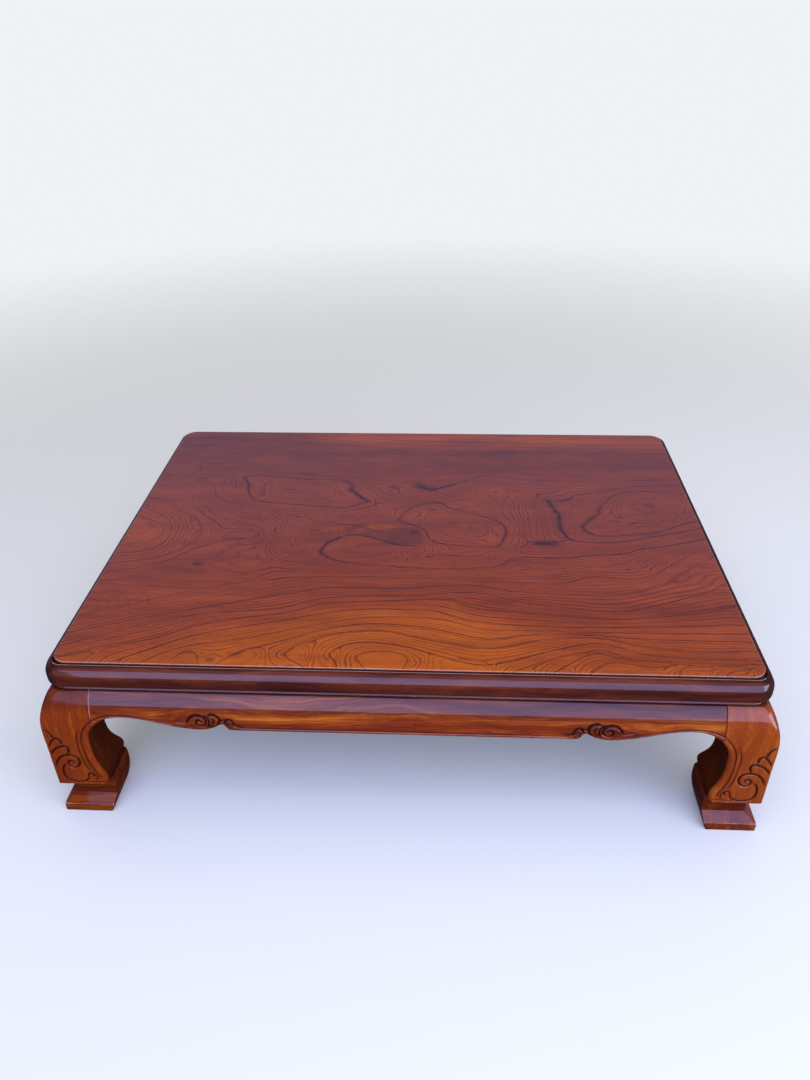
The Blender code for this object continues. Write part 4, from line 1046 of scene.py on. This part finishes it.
# Places where a drawn line is heavier: half width in mm, darkness and points
HEAVY = [
    (4.4, 0.92, [(-166, 192), (-150, 180), (-141, 164), (-143, 152), (-130, 134), (-118, 118), (-104, 103)]),
    (2.8, 0.85, [(-104, 103), (-116, 92), (-138, 76)]),
    (3.4, 0.92, [(-148, -47), (-168, -64), (-178, -88), (-178, -102), (-164, -116)]),
    (6.4, 0.92, [(0, 184), (12, 174), (22, 160), (34, 154)]), (4.2, 0.85, [(34, 153), (54, 162), (82, 179)]),
    (4.6, 0.92, [(288, 111), (298, 78), (306, 50), (304, 20), (306, -8), (312, -32), (320, -41)]),
    (8.0, 0.85, [(250, -56), (268, -57), (288, -53)]), (3.0, 0.7, [(288, -53), (318, -42)]),
    (2.8, 0.85, [(172, 30), (190, 4), (190, -30), (178, -62)]), (2.8, 0.8, [(20, 96), (40, 103), (62, 94)]),
    (3.4, 0.88, [(400, 92), (386, 56), (368, 34), (353, 14), (352, -4), (366, -19)]),
    (2.6, 0.8, [(-398, 205), (-387, 188), (-378, 162)]),
    (3.0, 0.7, [(-150, 6), (-118, 1), (-92, -10), (-66, -26)]),
    (3.4, 0.75, [(-112, -34), (-70, -50), (-28, -70), (8, -73)]),
    (2.4, 0.7, [(-330, -23), (-315, -38), (-328, -52)]),
    (1.2, 0.34, [(-560, -262), (-548, -276), (-540, -294)]),
    (1.2, 0.3, [(-546, -256), (-532, -272), (-522, -292)]),
    (1.2, 0.34, [(-528, -250), (-514, -266), (-506, -286)]),
    (1.2, 0.28, [(-510, -246), (-496, -262), (-492, -280)]),
    (1.2, 0.25, [(-490, -244), (-478, -258), (-476, -274)]),
    (1.2, 0.3, [(-574, -268), (-564, -286), (-558, -300)]),
    (2.6, 0.7, [(284, 112), (312, 113), (336, 121)]), (2.2, 0.7, [(-34, 24), (-24, 46), (-8, 72)]),
]

# Dark places: middle, half axes in mm, turn in degrees and strength
STAINS = [
    (2, -22, 17, 10, 20, 0.95), (-124, -10, 20, 7, 25, 0.5), (24, 166, 36, 11, -6, 0.62),
    (46, 98, 18, 5, 0, 0.5), (268, -56, 24, 10, 0, 0.7), (503, 98, 13, 11, 0, 0.45),
    (-414, -148, 8, 6, 0, 0.9), (-322, -426, 8, 6, 0, 0.8), (-280, -408, 16, 5, 35, 0.6),
    (176, 150, 8, 5, 0, 0.4),
]

# Paler places, in the same way
GLOWS = [(-66, -3, 40, 9, 6, 0.46), (-165, -14, 26, 9, 0, 0.30), (-385, -146, 30, 9, 5, 0.20),
         (178, 152, 16, 12, 0, 0.30)]

# Outline of the purple knot in the middle
KNOT = [(-112, -24), (-84, -30), (-58, -26), (-42, -12), (-12, -5), (12, -12), (26, -40), (24, -58), (6, -70),
        (-24, -72), (-48, -64), (-70, -50), (-96, -40), (-112, -24)]


def relaxed_growth(step):
    """Growth over the top on a square lattice: lines hold their level, the rest settles between them."""
    field = None
    for size in (16.0, 8.0, step):
        xs = np.arange(-604.0, 604.0 + size, size)
        ys = np.arange(-452.0, 452.0 + size, size)
        held = np.zeros((len(ys), len(xs)), dtype=bool)
        level = np.zeros((len(ys), len(xs)))
        for value, _, _, points in FIGURE:
            curve = smooth_curve(np.array(points, dtype=float), 24)
            i = np.clip(np.rint((curve[:, 0] - xs[0]) / size).astype(int), 0, len(xs) - 1)
            j = np.clip(np.rint((curve[:, 1] - ys[0]) / size).astype(int), 0, len(ys) - 1)
            held[j, i] = True
            level[j, i] = value
        if field is None:
            grown = np.zeros((len(ys), len(xs)))
        else:
            grown = lattice_values(field, old_x, old_y, *np.meshgrid(xs, ys))
        for _ in range(700):
            edge = np.pad(grown, 1, mode="edge")
            grown = (edge[:-2, 1:-1] + edge[2:, 1:-1] + edge[1:-1, :-2] + edge[1:-1, 2:]) / 4
            grown[held] = level[held]
        field, old_x, old_y = grown, xs, ys
    field = softened(field, 3)
    return field, old_x, old_y


def lattice_values(field, xs, ys, x, y):
    """Values between the lattice points."""
    u = np.clip((x - xs[0]) / (xs[1] - xs[0]), 0, len(xs) - 1.001)
    v = np.clip((y - ys[0]) / (ys[1] - ys[0]), 0, len(ys) - 1.001)
    i, j = u.astype(int), v.astype(int)
    fu, fv = u - i, v - j
    return ((1 - fv) * ((1 - fu) * field[j, i] + fu * field[j, i + 1])
            + fv * ((1 - fu) * field[j + 1, i] + fu * field[j + 1, i + 1]))


def softened(field, rounds):
    for _ in range(rounds):
        edge = np.pad(field, 1, mode="edge")
        field = (edge[:-2, 1:-1] + edge[2:, 1:-1] + edge[1:-1, :-2] + edge[1:-1, 2:] + 4 * field) / 8
    return field


def blots(rows, x, y):
    """Strength of soft-edged ovals at places in mm."""
    result = np.zeros_like(x)
    for middle_x, middle_y, half_x, half_y, turn, strength in rows:
        a = radians(turn)
        dx, dy = x - middle_x, y - middle_y
        u = (dx * cos(a) + dy * sin(a)) / half_x
        v = (dy * cos(a) - dx * sin(a)) / half_y
        result = np.maximum(result, strength * np.exp(-((u * u + v * v) ** 2.5)))
    return result


def inside_share(outline, x, y, soft):
    """1 inside a closed outline, 0 outside it, with a soft edge in mm."""
    curve = smooth_curve(np.array(outline, dtype=float), 5)
    gap, _, _ = near_path(np.stack((x, y), 1), curve)
    within = np.zeros(len(x), dtype=bool)
    for (ax, ay), (bx, by) in zip(curve[:-1], curve[1:]):
        if ay != by:
            within ^= ((ay > y) != (by > y)) & (x < ax + (y - ay) * (bx - ax) / (by - ay))
    return eased(np.where(within, gap, -gap), -soft, soft)


def drawn_lines(x, y):
    """Distance to the nearest drawn line in half widths, signed by its side, and how dark that line is."""
    places = np.stack((x, y), 1)
    offset = np.full(len(x), 9.0)
    dark = np.zeros(len(x))
    strokes = [row[1:] for row in FIGURE if row[1] > 0] + HEAVY
    for half, darkness, points in strokes:
        curve = smooth_curve(np.array(points, dtype=float), 6)
        for first in range(0, len(curve) - 1, 6):
            part = curve[first:first + 7]
            low, high = part.min(0) - 4.5 * half, part.max(0) + 4.5 * half
            here = np.flatnonzero(((places >= low) & (places <= high)).all(1))
            if not len(here):
                continue
            gap, side, _ = near_path(places[here], part)
            own = gap / half
            closer = own < np.abs(offset[here])
            offset[here[closer]] = (own * side)[closer]
            dark[here[closer]] = darkness
    return offset, dark * (1 - eased(np.abs(offset), 2.6, 4.2))


# Line below which the ground of the figure turns orange, in mm
ORANGE_EDGE = np.array([(-600, -400), (-430, -372), (-370, -336), (-290, -312), (-210, -292), (-150, -264),
                        (-50, -256), (80, -245), (114, -270), (300, -330), (600, -350)], dtype=float)


def figure_values(x, y):
    """Values that the veneer's finish is drawn from, at places on the top given in mm."""
    field, xs, ys = relaxed_growth(4.0)
    phase = np.where(field > -1, (field + 1) * 11, (field + 1) * 4.5)
    slope_y, slope_x = np.gradient(phase, 4.0)
    steep = softened(np.sqrt(slope_x**2 + slope_y**2), 10)
    stain = np.maximum(blots(STAINS, x, y), 0.54 * inside_share(KNOT, x, y, 2.5))
    front = eased(np.interp(x, ORANGE_EDGE[:, 0], ORANGE_EDGE[:, 1]) - y, -40, 80)
    far = 0.46 * eased(y, 330, 410) * eased(x + 0.6 * (y - 380), -320, -120)
    front = front * (1 - 0.34 * eased(x, 130, 260)) * (1 - 0.22 * eased(-x, 280, 420))
    left = 0.26 * eased(-x, 430, 560) * (1 - eased(np.abs(y + 30), 50, 150))
    warm = 0.30 + 0.12 * eased(-y, 90, 230) + 0.56 * front + far + left - 0.16 * eased(y, 120, 320)
    warm = warm + blots(GLOWS, x, y)
    line, dark = drawn_lines(x, y)
    wavy = 0.3 + 0.7 * (1 - eased(-y, 120, 210)) * (1 - eased(y, 215, 300))
    return {"phase": lattice_values(phase, xs, ys, x, y), "line": line, "line_dark": dark, "stain": stain,
            "wavy": wavy, "steep": np.clip(lattice_values(steep, xs, ys, x, y), 0.03, 0.5),
            "warm": np.clip(warm, 0.0, 1.0)}


FIELD_STEP = 0.0032

# Eased edge of the veneer: how far out and down each ring lies, and how worn it is
FIELD_EDGE = ((0.0003, 0.00006, 0.95), (0.0006, 0.0003, 1.0), (0.0009, 0.0008, 0.7),
              (0.0009, TABLE_TOP - VENEER_BOTTOM, 0.0))


def field_lines(half, radius):
    """Places of the lattice lines from one side to the other, closer inside the corners."""
    corner = np.linspace(half - radius, half, 9)
    middle = np.linspace(radius - half, half - radius, int(2 * (half - radius) / FIELD_STEP))
    return np.concatenate((-corner[:0:-1], middle, corner[1:]))


def field_points(grow):
    """Lattice of the veneer field, drawn in or out a little, with its corners rounded."""
    half_x = FIELD_X - FIELD_IN + grow
    half_y = FIELD_Y - FIELD_IN + grow
    radius = FIELD_ROUND + grow
    x, y = np.meshgrid(field_lines(half_x, radius), field_lines(half_y, radius))
    u = np.maximum(np.abs(x) - (half_x - radius), 0.0) / radius
    v = np.maximum(np.abs(y) - (half_y - radius), 0.0) / radius
    round_x = np.sign(x) * (half_x - radius + radius * u * np.sqrt(1 - v * v / 2))
    round_y = np.sign(y) * (half_y - radius + radius * v * np.sqrt(1 - u * u / 2))
    in_corner = (u > 0) & (v > 0)
    return np.where(in_corner, round_x, x), np.where(in_corner, round_y, y)


def add_veneer():
    x, y = field_points(0.0)
    rows, columns = x.shape
    number = np.arange(rows * columns).reshape(rows, columns)
    quads = np.stack((number[:-1, :-1], number[:-1, 1:], number[1:, 1:], number[1:, :-1]), 2)
    faces = quads.reshape(-1, 4).tolist()
    border = np.concatenate((number[0, :-1], number[:-1, -1], number[-1, :0:-1], number[:0:-1, 0]))
    places = [np.stack((x.ravel(), y.ravel(), np.full(x.size, TABLE_TOP)), 1)]
    worn = [np.zeros(x.size)]
    worn[0][border] = 0.7
    last, total = border, x.size
    for grow, drop, wear in FIELD_EDGE:
        gx, gy = field_points(grow)
        height = np.full(len(border), TABLE_TOP - drop)
        places.append(np.stack((gx.ravel()[border], gy.ravel()[border], height), 1))
        worn.append(np.full(len(border), wear))
        ring = total + np.arange(len(border))
        faces += np.stack((last, ring, np.roll(ring, -1), np.roll(last, -1)), 1).tolist()
        last, total = ring, total + len(border)
    faces.append(last[::-1].tolist())
    places = np.vstack(places)
    values = figure_values(places[:, 0] * 1000, places[:, 1] * 1000)
    values["worn"] = np.concatenate(worn)
    add_piece("figured_top", places, faces, "top_veneer", "figured_veneer", VENEER, values, 40)


for turn in range(4):
    add_leg(turn)
    add_apron(turn)
    add_foot(turn)
    add_edge(turn)
add_veneer()

# Finishes of the pieces that keep their CAD shape
for name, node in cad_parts.items():
    if name.startswith(("apron_screw", "batten_screw", "top_screw", "leg_bolt")):
        finish = ZINC
    elif name.startswith("foot_dowel"):
        finish = INNER_Z
    elif name in ("cleat_left", "cleat_right") or name.startswith("batten"):
        finish = INNER_Y
    elif name.startswith(("cleat", "corner_brace", "top_core")):
        finish = INNER_X
    else:
        continue
    node.data.materials.clear()
    node.data.materials.append(finish)


# Floor, light and camera

FLOOR_HALF = 30.0
FLOOR_FADE = (1.2, 4.2)

# Camera that gives the table's edges and feet their places in the picture
CAMERA_PLACE = (0.07004, -1.47523, 1.2621)
CAMERA_YAW, CAMERA_PITCH, CAMERA_ROLL = -0.0589, 0.57741, -0.01744
FOCAL_PIXELS = 840.4
PICTURE_PIXELS = 1080
SENSOR_MM = 24.0


def rays(tree):
    """Whether a ray comes from the camera, and whether it is a reflection."""
    path = put(tree, "ShaderNodeLightPath")
    return wire(path, "Is Camera Ray"), wire(path, "Is Glossy Ray")


def add_floor():
    mesh = bpy.data.meshes.new("floor")
    corners = [(x * FLOOR_HALF, y * FLOOR_HALF, 0.0) for x, y in ((-1, -1), (1, -1), (1, 1), (-1, 1))]
    mesh.from_pydata(corners, [], [(0, 1, 2, 3)])
    floor = bpy.data.objects.new("floor", mesh)
    bpy.context.scene.collection.objects.link(floor)
    material, tree, shader = new_material("pale_floor")
    seen, mirrored = rays(tree)
    # Seen from the camera it fades into the backdrop with distance, and from below it isn't seen
    reach = put(tree, "ShaderNodeVectorMath", operation="LENGTH")
    feed(reach.inputs[0], spot_of(tree))
    below = wire(put(tree, "ShaderNodeNewGeometry"), "Backfacing")
    gone = calc("MAXIMUM", span(wire(reach, "Value"), *FLOOR_FADE), below) * seen
    tone = mingle(mirrored, (0.26, 0.27, 0.29), (0.03, 0.04, 0.06))
    tone = mingle(seen, tone, (0.80, 0.78, 0.68))
    fill(shader, Base_Color=tone, Roughness=0.9, Specular_IOR_Level=0.1, Alpha=1.0 - gone)
    mesh.materials.append(material)


def add_softbox(name, place, aim, size, power, colour):
    light = bpy.data.lights.new(name, "AREA")
    light.shape = "RECTANGLE"
    light.size, light.size_y = size
    light.energy = power
    light.color = colour
    box = bpy.data.objects.new(name, light)
    box.location = place
    box.rotation_euler = (Vector(aim) - Vector(place)).to_track_quat("-Z", "Y").to_euler()
    bpy.context.scene.collection.objects.link(box)
    return box


def add_world():
    world = bpy.data.worlds.new("studio")
    bpy.context.scene.world = world
    world.use_nodes = True
    tree = world.node_tree
    seen, mirrored = rays(tree)
    up = put(tree, "ShaderNodeSeparateXYZ")
    feed(up.inputs[0], wire(put(tree, "ShaderNodeTexCoord"), "Generated"))
    shine = mingle(span(wire(up, "Z"), 0.48, 0.70), (0.25, 0.31, 0.54), (0.07, 0.08, 0.13))
    tone = mingle(mirrored, (0.50, 0.49, 0.47), shine)
    fill(tree.nodes["Background"], Color=mingle(seen, tone, (0.86, 0.89, 0.92)), Strength=1.0)


def add_camera():
    level = cos(CAMERA_PITCH)
    ahead = Vector((sin(CAMERA_YAW) * level, cos(CAMERA_YAW) * level, -sin(CAMERA_PITCH)))
    right = Vector((cos(CAMERA_YAW), -sin(CAMERA_YAW), 0.0))
    up = right.cross(ahead)
    across = cos(CAMERA_ROLL) * right + sin(CAMERA_ROLL) * up
    upward = cos(CAMERA_ROLL) * up - sin(CAMERA_ROLL) * right
    camera = bpy.data.cameras.new("camera")
    camera.sensor_fit = "VERTICAL"
    camera.sensor_height = SENSOR_MM
    camera.lens = FOCAL_PIXELS / PICTURE_PIXELS * SENSOR_MM
    eye = bpy.data.objects.new("camera", camera)
    place = Matrix((across, upward, -ahead)).transposed().to_4x4()
    place.translation = CAMERA_PLACE
    eye.matrix_world = place
    bpy.context.scene.collection.objects.link(eye)
    bpy.context.scene.camera = eye


add_floor()
add_softbox("front_softbox", place=(0.93, -2.62, 2.31), aim=(0.93, -0.245, 0.713), size=(6.0, 5.0),
            power=280.0, colour=(0.40, 0.495, 1.0))
add_softbox("side_softbox", place=(4.3, -2.4, 1.0), aim=(0.6, -0.45, 0.3), size=(2.6, 1.9),
            power=84.0, colour=(0.78, 0.87, 1.0))
overhead = add_softbox("overhead_softbox", place=(0.3, -0.2, 3.2), aim=(0.3, -0.2, 0.3), size=(3.6, 2.6),
                       power=22.0, colour=(1.0, 0.97, 0.93))
overhead.visible_glossy = False
add_world()
add_camera()
bpy.context.scene.view_settings.view_transform = "Standard"
